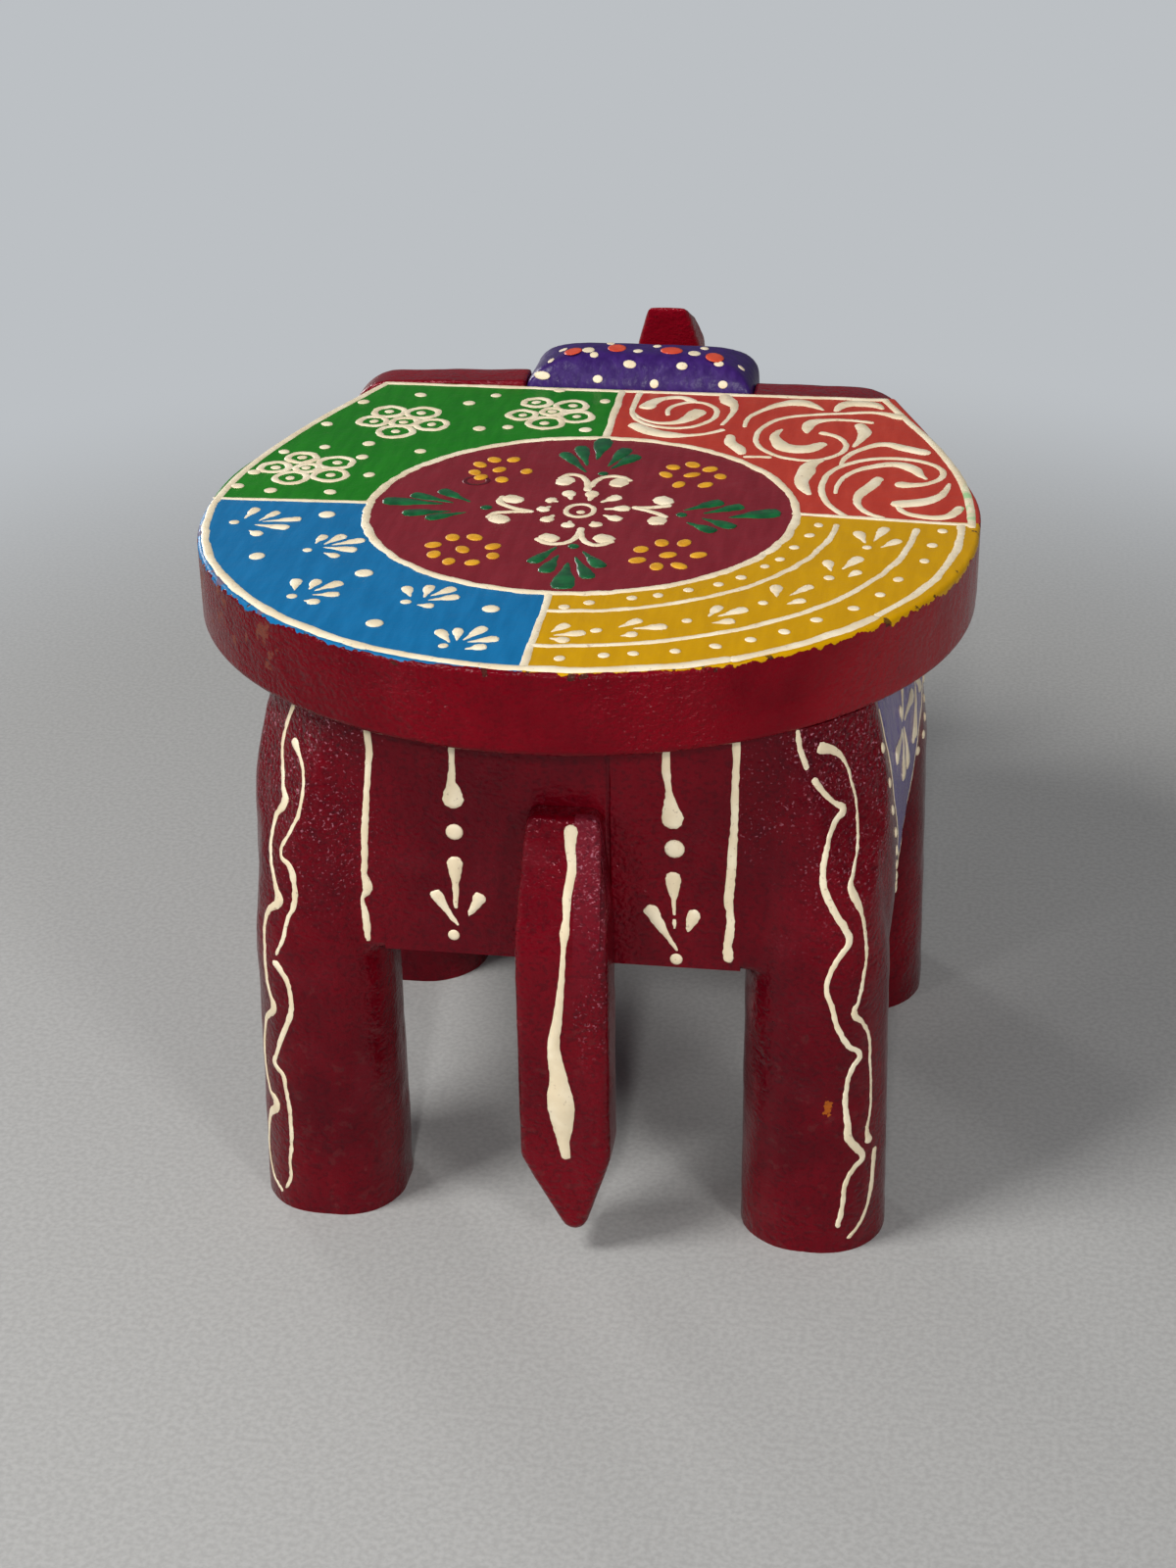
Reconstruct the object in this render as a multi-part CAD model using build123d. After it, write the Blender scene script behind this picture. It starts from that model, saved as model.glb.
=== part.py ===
from build123d import *
import os
from math import acos, atan2, cos, degrees, hypot, sin, tan

# A hand-made wooden stool shaped as a standing elephant: a round seat board on a body glued up
# from planks, with four round legs, a tail at the back, and a head with ears, trunk and tusks in front.
# Millimetres, +Z up, +Y towards the head, +X to the elephant's right. While the pieces are made, the seat
# circle's centre is at X 0, Y 0. At the end everything moves along Y, so that the origin lies on the floor
# under the middle of the whole stool.

# ---- seat board ----
seat_radius = 100.0
seat_front_reach = 99.8          # circle centre to the straight front edge
seat_front_half_width = 75.2
seat_thickness = 21.0
seat_top_height = 165.0
seat_top_round = 1.2
seat_bottom_round = 2.0
seat_underside = seat_top_height - seat_thickness

# ---- glued-up body ----
body_offset_x = 4.0              # the body sits a little right of the seat's centre line
belly_height = 79.0              # floor to the underside of the belly
core_half_width = 44.0           # body's centre line to the joint between core and leg plank
core_seam_x = 12.0               # joint between the wide and the narrow core block
seat_overhang = 20.0             # the seat reaches this far out behind the body's flat back
rump_y = seat_overhang - seat_radius
body_front_y = seat_front_reach  # front face of the body, flush with the seat's front edge
chest_round = 22.0               # rounded lower front corner of the body

# ---- leg planks, measured outwards from the joint with the core ----
plank_top_share = 0.82           # a plank's width under the seat, as a share of that at the belly
plank_side_share = 0.985         # the same part way up, where the flank starts to turn in
plank_side_rise = 36.0           # that place above the belly
plank_hind_width = 35.3
plank_flank_width = 35.6
plank_flank_set_in = 56.0        # the body's back to the middle of the flank
plank_flank_y = rump_y + plank_flank_set_in
plank_shoulder_width = 38.5
plank_shoulder_set_in = 41.8     # the body's front to the widest place
plank_shoulder_y = body_front_y - plank_shoulder_set_in
plank_corner = 20.0
leg_gap = 0.3                    # joint to a leg's inner face
leg_belly_slimming = 2.0         # a leg is this much slimmer at the belly than at the foot
leg_top_slimming = 11.0
leg_top_inset = 2.0
leg_paring_depth = 45.0          # under the seat, the hind corners are pared back to the seat's round edge
leg_paring_spread = 12.0         # how much wider the pared corners are at the bottom of that stretch
hind_leg_width = 37.2
hind_leg_depth = 37.0
hind_leg_set_in = 13.5           # the body's back to the leg's middle
hind_leg_y = rump_y + hind_leg_set_in
front_leg_width = 42.7
front_leg_depth = 48.0
front_leg_set_in = 44.3
front_leg_y = body_front_y - front_leg_set_in
leg_roundness = 0.44             # corner radius as a share of the leg's smaller side
arch_corner = 13.0               # radius between a leg and the belly, seen from the side
arch_web_inset = 4.0             # the rounded corner's web stands back from both faces of the plank

# ---- head ----
head_half_width = 33.5
head_bottom = 84.0
head_depth = 38.0
crown_rise = 9.5                 # top of the head above the seat
crown_left_slope = 14.0          # the crown's shoulders: a long one on the left and a short one on the right
crown_right_slope = 10.5
crown_depth = 26.0
head_front_corner = 14.0
head_chin_set_back = 14.0
ear_thickness = 14.0
ear_bottom = 88.0
ear_root_rise = 14.0             # the ear's lowest point to its lower corner at the head
ear_round = 3.0
right_ear_half_span = 82.0       # the ears were cut by eye, so each has its own sizes
right_ear_corner = 19.0
right_ear_root_top = -0.4        # above the seat, at the head
right_ear_corner_top = -0.4      # above the seat, where the corner starts
left_ear_half_span = 87.5
left_ear_corner = 14.0
left_ear_root_top = 1.6
left_ear_corner_top = 0.2

# ---- trunk and tusks ----
trunk_thickness = 20.0
trunk_offset_x = 3.5
trunk_let_in = 5.0               # depth of the flat that the trunk's root sits in
trunk_root_rise = 28.0           # the head's underside to the middle of the trunk's root
trunk_root_height = head_bottom + trunk_root_rise
trunk_root_half = 20.0
trunk_reach = 29.0               # front of the head to the outside of the trunk's rising part
trunk_curl_width = 16.0
trunk_curl_drop = 6.0            # foot of the root to the lowest point of the curl
trunk_valley_drop = 11.0         # top of the root to the lowest point inside the curl
trunk_tip_half_width = 5.8
trunk_tip_above_seat = 12.6
trunk_tip_back = 13.0            # the tip leans back over the rising part by this much
trunk_tip_depth = 11.3
trunk_tip_slant = 6.0            # the tip is sawn off lower in front than behind
trunk_lean_drop = 19.0           # the seat's top to where the tip starts to lean back
trunk_lean_start = seat_top_height - trunk_lean_drop
trunk_taper_drop = 2.0           # the seat's top to where the tip starts to narrow
trunk_taper_start = seat_top_height - trunk_taper_drop
tusk_root_radius = 4.5
tusk_tip_radius = 2.0
tusk_length = 26.0
tusk_tenon = 12.0
tusk_set_back = 9.0              # front of the head to the middle of a tusk's shoulder
tusk_spacing = 22.0              # head's middle to a tusk's middle
tusk_drop = 4.0                  # below the middle of the trunk's root
tusk_height = trunk_root_height - tusk_drop
tusk_droop_deg = 18.0

# ---- tail ----
tail_width = 22.0
tail_top_width = 17.0
tail_thickness = 13.5
tail_top_thickness = 6.5
tail_swell_length = 34.0         # the tail's top to where it has its full thickness
tail_drop = 22.5                 # the tail's top below the seat
tail_top_height = seat_underside - tail_drop
tail_tip_height = 2.5            # where the sides of the point would meet, if it weren't rounded
tail_tip_round = 3.2
tail_tip_aside = 2.7             # the point is sawn a little to the right of the middle
tail_point_length = 26.5
tail_taper_length = 30.0
tail_offset_x = 2.0              # body's centre line to the tail's
tail_corner = 2.5
tail_edge_round = 1.6
tail_lean = atan2(tail_thickness - tail_top_thickness, tail_swell_length)

# ---- fixings ----
bore_clearance = 0.05
nail_radius = 1.4
nail_head_radius = 2.6
nail_head_thickness = 1.2
tail_nail_length = 44.0
tail_nail_drops = [28.5, 11.5]   # the tail's top to each nail
tail_nail_heights = [tail_top_height - drop for drop in tail_nail_drops]
ear_nail_length = 38.0
ear_nail_offset = 21.5           # the side of the head to the ear's nails
ear_nail_x = head_half_width + ear_nail_offset
ear_nail_drops = [33.0, 7.0]     # the seat's underside to each nail
ear_nail_heights = [seat_underside - drop for drop in ear_nail_drops]
dowel_radius = 4.0
plank_dowel_end = 17.0           # how deep a dowel goes into each leg plank
plank_dowel_length = 2 * (core_half_width + plank_dowel_end)
plank_dowel_rise = 8.5           # above the upper nail of the tail, which passes under the hind dowel
plank_dowel_height = tail_nail_heights[-1] + plank_dowel_rise
hind_dowel_set_in = 22.0
middle_dowel_set_in = 69.8
front_dowel_set_in = 27.8
hind_dowel_y = rump_y + hind_dowel_set_in
middle_dowel_y = body_front_y - middle_dowel_set_in
front_dowel_y = body_front_y - front_dowel_set_in
head_dowel_length = 34.0
head_dowel_x = 20.0
head_dowel_rise = 4.0            # above the middle between the tusks and the seat's underside
head_dowel_height = (tusk_height + seat_underside) / 2 + head_dowel_rise
trunk_dowel_length = 34.0
seat_nail_length = 46.0
seat_nail_sink = 2.0             # filler above the head
left_nail_x = -31.7              # the seat's nails miss the dowels below them, so they are placed from those
right_nail_x = 45.5
right_hind_nail_x = 36.0
front_nail_gap = 10.1
right_nail_gap = 25.3
left_hind_nail_gap = 11.0
right_hind_nail_gap = 9.0
seat_nail_places = [
    (left_nail_x, middle_dowel_y - front_nail_gap),
    (right_nail_x, middle_dowel_y - right_nail_gap),
    (left_nail_x, hind_dowel_y + left_hind_nail_gap),
    (right_hind_nail_x, hind_dowel_y + right_hind_nail_gap),
]


def along_y(y, x, z, direction=1.0):
    """Location at (x, y, z) whose local +Z points along +Y (direction 1) or -Y (direction -1)."""
    return Plane(origin=(x, y, z), x_dir=(1, 0, 0), z_dir=(0, direction, 0)).location


def side_prism(outline, x_low, x_high):
    """A closed outline of (y, z) points and curves, extruded from x_low to x_high."""
    plane = Plane(origin=(x_low, 0, 0), x_dir=(0, 1, 0), z_dir=(1, 0, 0))
    return extrude(plane * outline, x_high - x_low)


def nail(length, clearance=0.0):
    """A wire nail that points down, its head's top at the origin. With a clearance it is the nail's hole."""
    head_thickness = nail_head_thickness + 2 * clearance
    shank = Pos(0, 0, -(length + clearance) / 2) * Cylinder(nail_radius + clearance, length + clearance)
    head = Pos(0, 0, clearance - head_thickness / 2) * Cylinder(nail_head_radius + clearance, head_thickness)
    return shank + head


def dowel(length, clearance=0.0):
    """A round wooden dowel along local Z, centred on its length. With a clearance it is its hole."""
    return Cylinder(dowel_radius + clearance, length + 2 * clearance)


def plug(length, clearance=0.0):
    """The filler over a sunk nail head, hanging down from the origin. With a clearance it is its hole."""
    return Pos(0, 0, clearance - length / 2) * Cylinder(nail_head_radius + clearance, length + clearance)


def fitted(places, maker, length):
    """The fixings at these places, then the holes that they need."""
    fixings = [place * maker(length) for place in places]
    return fixings, [place * maker(length, bore_clearance) for place in places]


# ---- seat board: a round disc with a straight front edge, its sides tangent to the circle ----
def seat_outline():
    corner_distance = hypot(seat_front_half_width, seat_front_reach)
    tangent_angle = atan2(seat_front_reach, seat_front_half_width) - acos(seat_radius / corner_distance)
    tangent_x = seat_radius * cos(tangent_angle)
    tangent_y = seat_radius * sin(tangent_angle)
    sides = [
        Line((tangent_x, tangent_y), (seat_front_half_width, seat_front_reach)),
        Line((seat_front_half_width, seat_front_reach), (-seat_front_half_width, seat_front_reach)),
        Line((-seat_front_half_width, seat_front_reach), (-tangent_x, tangent_y)),
        ThreePointArc((-tangent_x, tangent_y), (0, -seat_radius), (tangent_x, tangent_y)),
    ]
    return make_face(Curve() + sides)


def seat_board():
    board = extrude(Plane.XY.offset(seat_underside) * seat_outline(), seat_thickness)

    def rim(face):
        """The face's edges apart from the straight one that meets the head."""
        return [e for e in face.edges() if e.center().Y < seat_front_reach - 0.5]

    board = fillet(rim(board.faces().sort_by(Axis.Z)[-1]), seat_top_round)
    return fillet(rim(board.faces().sort_by(Axis.Z)[0]), seat_bottom_round)


# ---- body: two core blocks between two leg planks ----
def chest_cutter():
    """What is sawn off the lower front corner of the body."""
    side = chest_round + 1
    length = 2 * (core_half_width + plank_shoulder_width + 5)
    corner = Pos(body_offset_x, body_front_y - chest_round + side / 2, belly_height + chest_round - side / 2)
    centre = Pos(body_offset_x, body_front_y - chest_round, belly_height + chest_round)
    return corner * Box(length, side, side) - centre * Rot(0, 90, 0) * Cylinder(chest_round, length)


def core_block(x_low, x_high):
    """A block of the core, from x_low to x_high off the body's centre line."""
    size = (x_high - x_low, body_front_y - rump_y, seat_underside - belly_height)
    centre_y = (body_front_y + rump_y) / 2
    centre_z = (seat_underside + belly_height) / 2
    return Pos(body_offset_x + (x_low + x_high) / 2, centre_y, centre_z) * Box(*size) - chest_cutter()


def plank_section(z, share):
    """Plan of the right leg plank at height z: flat at the joint, the back and the front."""
    joint_x = body_offset_x + core_half_width
    hind_x = joint_x + share * plank_hind_width
    flank_x = joint_x + share * plank_flank_width
    shoulder_x = joint_x + share * plank_shoulder_width
    radius = share * plank_corner
    back_corner = JernArc((hind_x - radius, rump_y), (1, 0), radius, 90)
    front_corner = JernArc((shoulder_x, body_front_y - radius), (0, 1), radius, 90)
    flank = Spline(
        back_corner @ 1,
        (flank_x, plank_flank_y),
        (shoulder_x, plank_shoulder_y),
        front_corner @ 0,
        tangents=[(0, 1), (0, 1)],
    )
    back = Line((joint_x, rump_y), back_corner @ 0)
    front = Line(front_corner @ 1, (joint_x, body_front_y))
    joint = Line((joint_x, body_front_y), (joint_x, rump_y))
    return Plane.XY.offset(z) * make_face(Curve() + [back, back_corner, flank, front_corner, front, joint])


def leg(width, depth, y):
    """One round leg, a column that runs from the floor to the seat inside its plank."""
    joint_x = body_offset_x + core_half_width

    def section(z, slimming, inset):
        inner = joint_x + leg_gap + inset
        corner = leg_roundness * (min(width, depth) - slimming)
        outline = RectangleRounded(width - slimming, depth - slimming, corner)
        return Plane.XY.offset(z) * Pos(inner + (width - slimming) / 2, y) * outline

    foot = section(0, 0, 0)
    belly = section(belly_height, leg_belly_slimming, 0)
    top = section(seat_underside, leg_top_slimming, leg_top_inset)
    return loft([foot, belly]) + loft([belly, top])


def arch_web(leg_face_y, towards):
    """Rounds the corner between a leg and the belly. towards is +1 or -1 along Y."""
    width = plank_flank_width - 2 * arch_web_inset
    x = body_offset_x + core_half_width + plank_flank_width / 2
    embedded = leg_belly_slimming + 6.0
    side = arch_corner + embedded
    shift = (arch_corner - embedded) / 2
    block = Pos(x, leg_face_y + towards * shift, belly_height - shift) * Box(width, side, side)
    hollow_centre = Pos(x, leg_face_y + towards * arch_corner, belly_height - arch_corner)
    return block - hollow_centre * Rot(0, 90, 0) * Cylinder(arch_corner, width + 1)


def hind_paring():
    """What is pared off the planks' hind corners, so that they don't stick out from under the seat."""
    reach = seat_radius - seat_bottom_round
    cone = Cone(reach + leg_paring_spread, reach, leg_paring_depth)
    block = Pos(0, -seat_radius) * Box(4 * seat_radius, 2 * seat_radius, leg_paring_depth)
    return Pos(0, 0, seat_underside - leg_paring_depth / 2) * (block - cone)


def right_leg_plank():
    heights = [belly_height, belly_height + plank_side_rise, seat_underside]
    shares = [1.0, plank_side_share, plank_top_share]
    plank = loft([plank_section(z, share) for z, share in zip(heights, shares)]) - chest_cutter()
    plank += leg(hind_leg_width, hind_leg_depth, hind_leg_y)
    plank += leg(front_leg_width, front_leg_depth, front_leg_y)
    plank += arch_web(hind_leg_y + (hind_leg_depth - leg_belly_slimming) / 2, 1)
    plank += arch_web(front_leg_y - (front_leg_depth - leg_belly_slimming) / 2, -1)
    return plank - hind_paring()


def mirrored(piece):
    """The same piece on the body's left side."""
    return piece.mirror(Plane(origin=(body_offset_x, 0, 0), z_dir=(1, 0, 0)))


# ---- tail: a flat bar with a pointed end, fixed to the rump ----
tail_x = body_offset_x + tail_offset_x


def tail_outline():
    half, top_half = tail_width / 2, tail_top_width / 2
    point_z = tail_tip_height + tail_point_length
    taper_z = tail_top_height - tail_taper_length
    right_side = [(half, point_z), (half, taper_z), (top_half, tail_top_height)]
    left_side = [(-x, z) for x, z in reversed(right_side)]
    outline = make_face(Polyline((tail_tip_aside, tail_tip_height), *right_side, *left_side, close=True))
    by_height = outline.vertices().sort_by(Axis.Y)
    outline = fillet(by_height[-2:], tail_corner)
    return fillet(outline.vertices().sort_by(Axis.Y)[0], tail_tip_round)


def tail():
    back_plane = Plane(origin=(tail_x, rump_y, 0), x_dir=(1, 0, 0), z_dir=(0, -1, 0))
    bar = extrude(back_plane * tail_outline(), tail_thickness)
    bar = fillet(bar.faces().sort_by(Axis.Y)[0].edges(), tail_edge_round)
    beyond_z = tail_top_height + 5
    beyond_y = rump_y - tail_top_thickness + 5 * tan(tail_lean)
    full_z = tail_top_height - tail_swell_length
    outer_y = rump_y - tail_thickness
    wedge = make_face(Polyline(
        (outer_y - 1, full_z), (outer_y, full_z), (beyond_y, beyond_z), (outer_y - 1, beyond_z), close=True,
    ))
    return bar - side_prism(wedge, tail_x - tail_width, tail_x + tail_width)


# ---- head: its shapes from the side, from behind and from above, cut into one block ----
head_front_y = body_front_y + head_depth
crown_top = seat_top_height + crown_rise


def head_block():
    back_y = body_front_y
    from_side = make_face(Curve() + [
        Line((back_y, head_bottom), (back_y, seat_top_height)),
        Spline(
            (back_y, seat_top_height),
            (back_y + crown_depth / 2, crown_top),
            (back_y + crown_depth, seat_top_height + crown_rise / 4),
            (head_front_y, trunk_root_height),
            (head_front_y - head_chin_set_back, head_bottom),
            tangents=[(0.3, 1), (-1, -0.9)],
        ),
        Line((head_front_y - head_chin_set_back, head_bottom), (back_y, head_bottom)),
    ])
    height = crown_top - head_bottom + 2
    side, left, right = head_half_width, crown_left_slope, crown_right_slope
    foot_z = head_bottom - 1
    crown = Spline(
        (-side, seat_top_height),
        (left * 0.45 - side, seat_top_height + 0.64 * crown_rise),
        (left - side, seat_top_height + 0.9 * crown_rise),
        (0, seat_top_height + 0.93 * crown_rise),
        (side - right, seat_top_height + 0.84 * crown_rise),
        (side - right * 0.36, seat_top_height + 0.53 * crown_rise),
        (side, seat_top_height - 0.1 * crown_rise),
    )
    from_behind = make_face(Curve() + [
        crown,
        Line(crown @ 1, (side, foot_z)),
        Line((side, foot_z), (-side, foot_z)),
        Line((-side, foot_z), crown @ 0),
    ])
    behind_plane = Plane(origin=(0, back_y, 0), x_dir=(1, 0, 0), z_dir=(0, -1, 0))
    from_above = RectangleRounded(2 * head_half_width, 2 * head_depth + 4, head_front_corner)
    above_plane = Plane(origin=(0, back_y, head_bottom))
    block = side_prism(from_side, -head_half_width, head_half_width)
    block &= extrude(behind_plane * from_behind, -(head_depth + 5))
    return block & extrude(above_plane * from_above, height)


def ear(half_span, corner_radius, root_top, corner_top):
    """A flat fan at the right: straight along the top, round at the corner, narrowing down to the cheek."""
    top = seat_top_height + corner_top
    height = top - ear_bottom
    root_foot = ear_bottom + ear_root_rise
    root_head = (head_half_width, seat_top_height + root_top)
    corner_start = (half_span - corner_radius, top)
    top_line = Line(root_head, corner_start)
    corner = JernArc(corner_start, top_line % 1, corner_radius, -75)
    edge = Spline(
        corner @ 1,
        (half_span - 4.5, top - 0.66 * height),
        (half_span - 24, ear_bottom + 4),
        (head_half_width, root_foot),
        tangents=[corner % 1, (-1, 0.5)],
    )
    root = Line((head_half_width, root_foot), root_head)
    front_plane = Plane(origin=(0, body_front_y + ear_thickness, 0), x_dir=(1, 0, 0), z_dir=(0, -1, 0))
    fan = extrude(front_plane * make_face(Curve() + [top_line, corner, edge, root]), ear_thickness)
    front = fan.faces().sort_by(Axis.Y)[-1]
    return fillet([e for e in front.edges() if e.center().X > head_half_width + 0.5], ear_round)


# ---- trunk: sawn from one plank to a curl, then tapered to its tip ----
trunk_root_y = head_front_y - trunk_let_in


def trunk():
    """Its outline from the side: forward from the face, round the curl and up to the tip."""
    half = trunk_thickness / 2
    front_y = head_front_y + trunk_reach
    back_y = front_y - trunk_curl_width
    root_top, root_foot = trunk_root_height + trunk_root_half, trunk_root_height - trunk_root_half
    valley_y, valley_z = (head_front_y + back_y) / 2 + 2, root_top - trunk_valley_drop
    tip_front, tip_z = front_y - trunk_tip_back, seat_top_height + trunk_tip_above_seat
    tip_back = tip_front - trunk_tip_depth
    root = Line((trunk_root_y, root_foot), (trunk_root_y, root_top))
    inside = Spline(
        (trunk_root_y, root_top),
        (head_front_y + 1, root_top - trunk_valley_drop / 2),
        (valley_y, valley_z),
        (back_y, valley_z + 10),
        (back_y, trunk_lean_start),
        (tip_back, tip_z),
    )
    tip_front_z = tip_z - trunk_tip_slant
    tip = Line((tip_back, tip_z), (tip_front, tip_front_z))
    outside = Spline(
        (tip_front, tip_front_z),
        (front_y - 1.5, trunk_lean_start + 4),
        (front_y, valley_z),
        (front_y - 6, root_foot + 6),
        (head_front_y + 9, root_foot - trunk_curl_drop),
        (trunk_root_y, root_foot),
    )
    outline = make_face(Curve() + [root, inside, tip, outside])
    blank = side_prism(outline, trunk_offset_x - half, trunk_offset_x + half)
    beyond = tip_z + 5
    lean = (half - trunk_tip_half_width) * (beyond - trunk_taper_start) / (tip_z - trunk_taper_start)
    taper = Polyline(
        (half, trunk_taper_start), (half + 10, trunk_taper_start), (half + 10, beyond), (half - lean, beyond),
        close=True,
    )
    cut_plane = Plane(origin=(trunk_offset_x, head_front_y, 0), x_dir=(1, 0, 0), z_dir=(0, -1, 0))
    right_cut = extrude(cut_plane * make_face(taper), -(trunk_reach + 5))
    return blank - right_cut - right_cut.mirror(Plane(origin=(trunk_offset_x, 0, 0), z_dir=(1, 0, 0)))


def tusk(side, clearance=0.0):
    """A whittled peg with a round tenon in the head. With a clearance it is what the head is bored out by."""
    root, tenon = tusk_root_radius + clearance, tusk_tenon + clearance
    shoulder = Pos(side * tusk_spacing, head_front_y - tusk_set_back, tusk_height)
    place = shoulder * Rot(-90 - tusk_droop_deg, 0, 0)
    if clearance:
        return place * Pos(0, 0, (tusk_length - tenon) / 2) * Cylinder(root, tusk_length + tenon)
    cone = Pos(0, 0, tusk_length / 2) * Cone(root, tusk_tip_radius, tusk_length)
    return place * (cone + Pos(0, 0, -tenon / 2) * Cylinder(root, tenon))


# ---- fixings, and their holes ----
seat_places = [Pos(x, y, seat_top_height) for x, y in seat_nail_places]
sunk_places = [place * Pos(0, 0, -seat_nail_sink) for place in seat_places]
dowel_ys = (hind_dowel_y, middle_dowel_y, front_dowel_y)
plank_places = [Pos(body_offset_x, y, plank_dowel_height) * Rot(0, 90, 0) for y in dowel_ys]
head_places = [along_y(body_front_y, side * head_dowel_x, head_dowel_height) for side in (-1, 1)]
trunk_place = along_y(trunk_root_y, trunk_offset_x, trunk_root_height)
ear_front_y = body_front_y + ear_thickness
ear_spots = [(side * ear_nail_x, z) for side in (-1, 1) for z in ear_nail_heights]
ear_places = [along_y(ear_front_y, x, z) for x, z in ear_spots]
tail_places = []
for drop, z in zip(tail_nail_drops, tail_nail_heights):
    face_y = rump_y - tail_top_thickness - drop * tan(tail_lean)
    tail_places.append(along_y(face_y, tail_x, z, -1) * Rot(-degrees(tail_lean), 0, 0))

seat_nails, seat_nail_holes = fitted(sunk_places, nail, seat_nail_length)
nail_filler, filler_holes = fitted(seat_places, plug, seat_nail_sink)
plank_dowels, plank_dowel_holes = fitted(plank_places, dowel, plank_dowel_length)
head_dowels, head_dowel_holes = fitted(head_places, dowel, head_dowel_length)
trunk_dowels, trunk_dowel_holes = fitted([trunk_place], dowel, trunk_dowel_length)
ear_nails, ear_nail_holes = fitted(ear_places, nail, ear_nail_length)
tail_nails, tail_nail_holes = fitted(tail_places, nail, tail_nail_length)


def drilled(piece, *hole_groups):
    """The piece with those of the holes that reach into it."""
    for holes in hole_groups:
        for hole in holes:
            piece = piece - hole
    return piece


def group(fixings):
    """Alike fixings as separate solids in one node."""
    return Compound([fixing.solid() for fixing in fixings])


plank = right_leg_plank()
trunk_blank = trunk()
left_ear = ear(left_ear_half_span, left_ear_corner, left_ear_root_top, left_ear_corner_top)
right_ear = ear(right_ear_half_span, right_ear_corner, right_ear_root_top, right_ear_corner_top)
plank_holes = (plank_dowel_holes, ear_nail_holes, seat_nail_holes)
core_holes = (plank_dowel_holes, head_dowel_holes, seat_nail_holes, tail_nail_holes)
tusk_holes = [tusk(side, bore_clearance) for side in (-1, 1)]
pieces = {
    "seat_board": drilled(seat_board(), seat_nail_holes, filler_holes),
    "left_leg_plank": drilled(mirrored(plank), *plank_holes),
    "right_leg_plank": drilled(plank, *plank_holes),
    "wide_core_block": drilled(core_block(-core_half_width, core_seam_x), *core_holes),
    "narrow_core_block": drilled(core_block(core_seam_x, core_half_width), *core_holes),
    "head_block": drilled(head_block() - trunk_blank, head_dowel_holes, trunk_dowel_holes, tusk_holes),
    "left_ear": drilled(left_ear.mirror(Plane.YZ), ear_nail_holes),
    "right_ear": drilled(right_ear, ear_nail_holes),
    "trunk": drilled(trunk_blank, trunk_dowel_holes),
    "left_tusk": tusk(-1),
    "right_tusk": tusk(1),
    "tail": drilled(tail(), tail_nail_holes),
    "seat_nails": group(seat_nails),
    "nail_filler": group(nail_filler),
    "plank_dowels": group(plank_dowels),
    "head_dowels": group(head_dowels),
    "trunk_dowel": group(trunk_dowels),
    "ear_nails": group(ear_nails),
    "tail_nails": group(tail_nails),
}

# ---- the origin goes under the middle of the whole stool ----
boxes = [piece.bounding_box() for piece in pieces.values()]
middle_y = (min(box.min.Y for box in boxes) + max(box.max.Y for box in boxes)) / 2
os.makedirs("parts", exist_ok=True)
for name, piece in pieces.items():
    export_step(Pos(0, -middle_y, 0) * piece, f"parts/{name}.step")
print("seat circle's centre is at Y", round(-middle_y, 4))
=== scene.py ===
import math
import random
from functools import partialmethod

import bpy
from mathutils import Matrix, Vector
from mathutils.bvhtree import BVHTree


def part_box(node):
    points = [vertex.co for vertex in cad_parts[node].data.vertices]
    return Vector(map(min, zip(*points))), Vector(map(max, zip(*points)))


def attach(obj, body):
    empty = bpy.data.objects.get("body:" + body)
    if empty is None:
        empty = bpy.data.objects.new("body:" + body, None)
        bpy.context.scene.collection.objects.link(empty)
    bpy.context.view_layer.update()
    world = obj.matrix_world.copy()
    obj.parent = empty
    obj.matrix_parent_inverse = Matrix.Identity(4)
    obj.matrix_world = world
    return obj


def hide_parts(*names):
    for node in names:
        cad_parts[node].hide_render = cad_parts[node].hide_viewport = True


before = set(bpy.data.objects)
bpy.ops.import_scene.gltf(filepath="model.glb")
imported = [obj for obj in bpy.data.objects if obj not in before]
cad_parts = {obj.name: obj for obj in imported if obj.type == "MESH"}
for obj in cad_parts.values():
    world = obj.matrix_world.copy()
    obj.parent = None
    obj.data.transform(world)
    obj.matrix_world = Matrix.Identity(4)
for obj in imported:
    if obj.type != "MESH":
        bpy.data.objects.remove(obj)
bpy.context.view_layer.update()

MM = 0.001

# ---- Seat board ----
# A round board about 200 mm across, sawn straight where the head stands against it. The wood is primed, its
# top is painted freehand in four quarters round a maroon disc, and the sides are brushed with crimson
# lacquer. The quarters' paint runs over the edge in places, and the left edge is rubbed back to the wood.
SEAT_TOP = 0.165
SEAT_RADIUS = 0.1
SEAT_CENTRE_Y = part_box("seat_board")[0].y + SEAT_RADIUS
PAINT_EDGE_RADIUS = 97.6
MEDALLION = (-2.1, 1.8)
MEDALLION_RADIUS = 55.5
BUBBLE = (-33, 20)
BUBBLE_RADIUS = 3.1


def srgb(red, green, blue):
    """A paint's colour as mixed, 0 to 255, in the linear values that a shader takes."""
    parts = [part / 255 for part in (red, green, blue)]
    return (*(p / 12.92 if p <= 0.04045 else ((p + 0.055) / 1.055) ** 2.4 for p in parts), 1)


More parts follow.
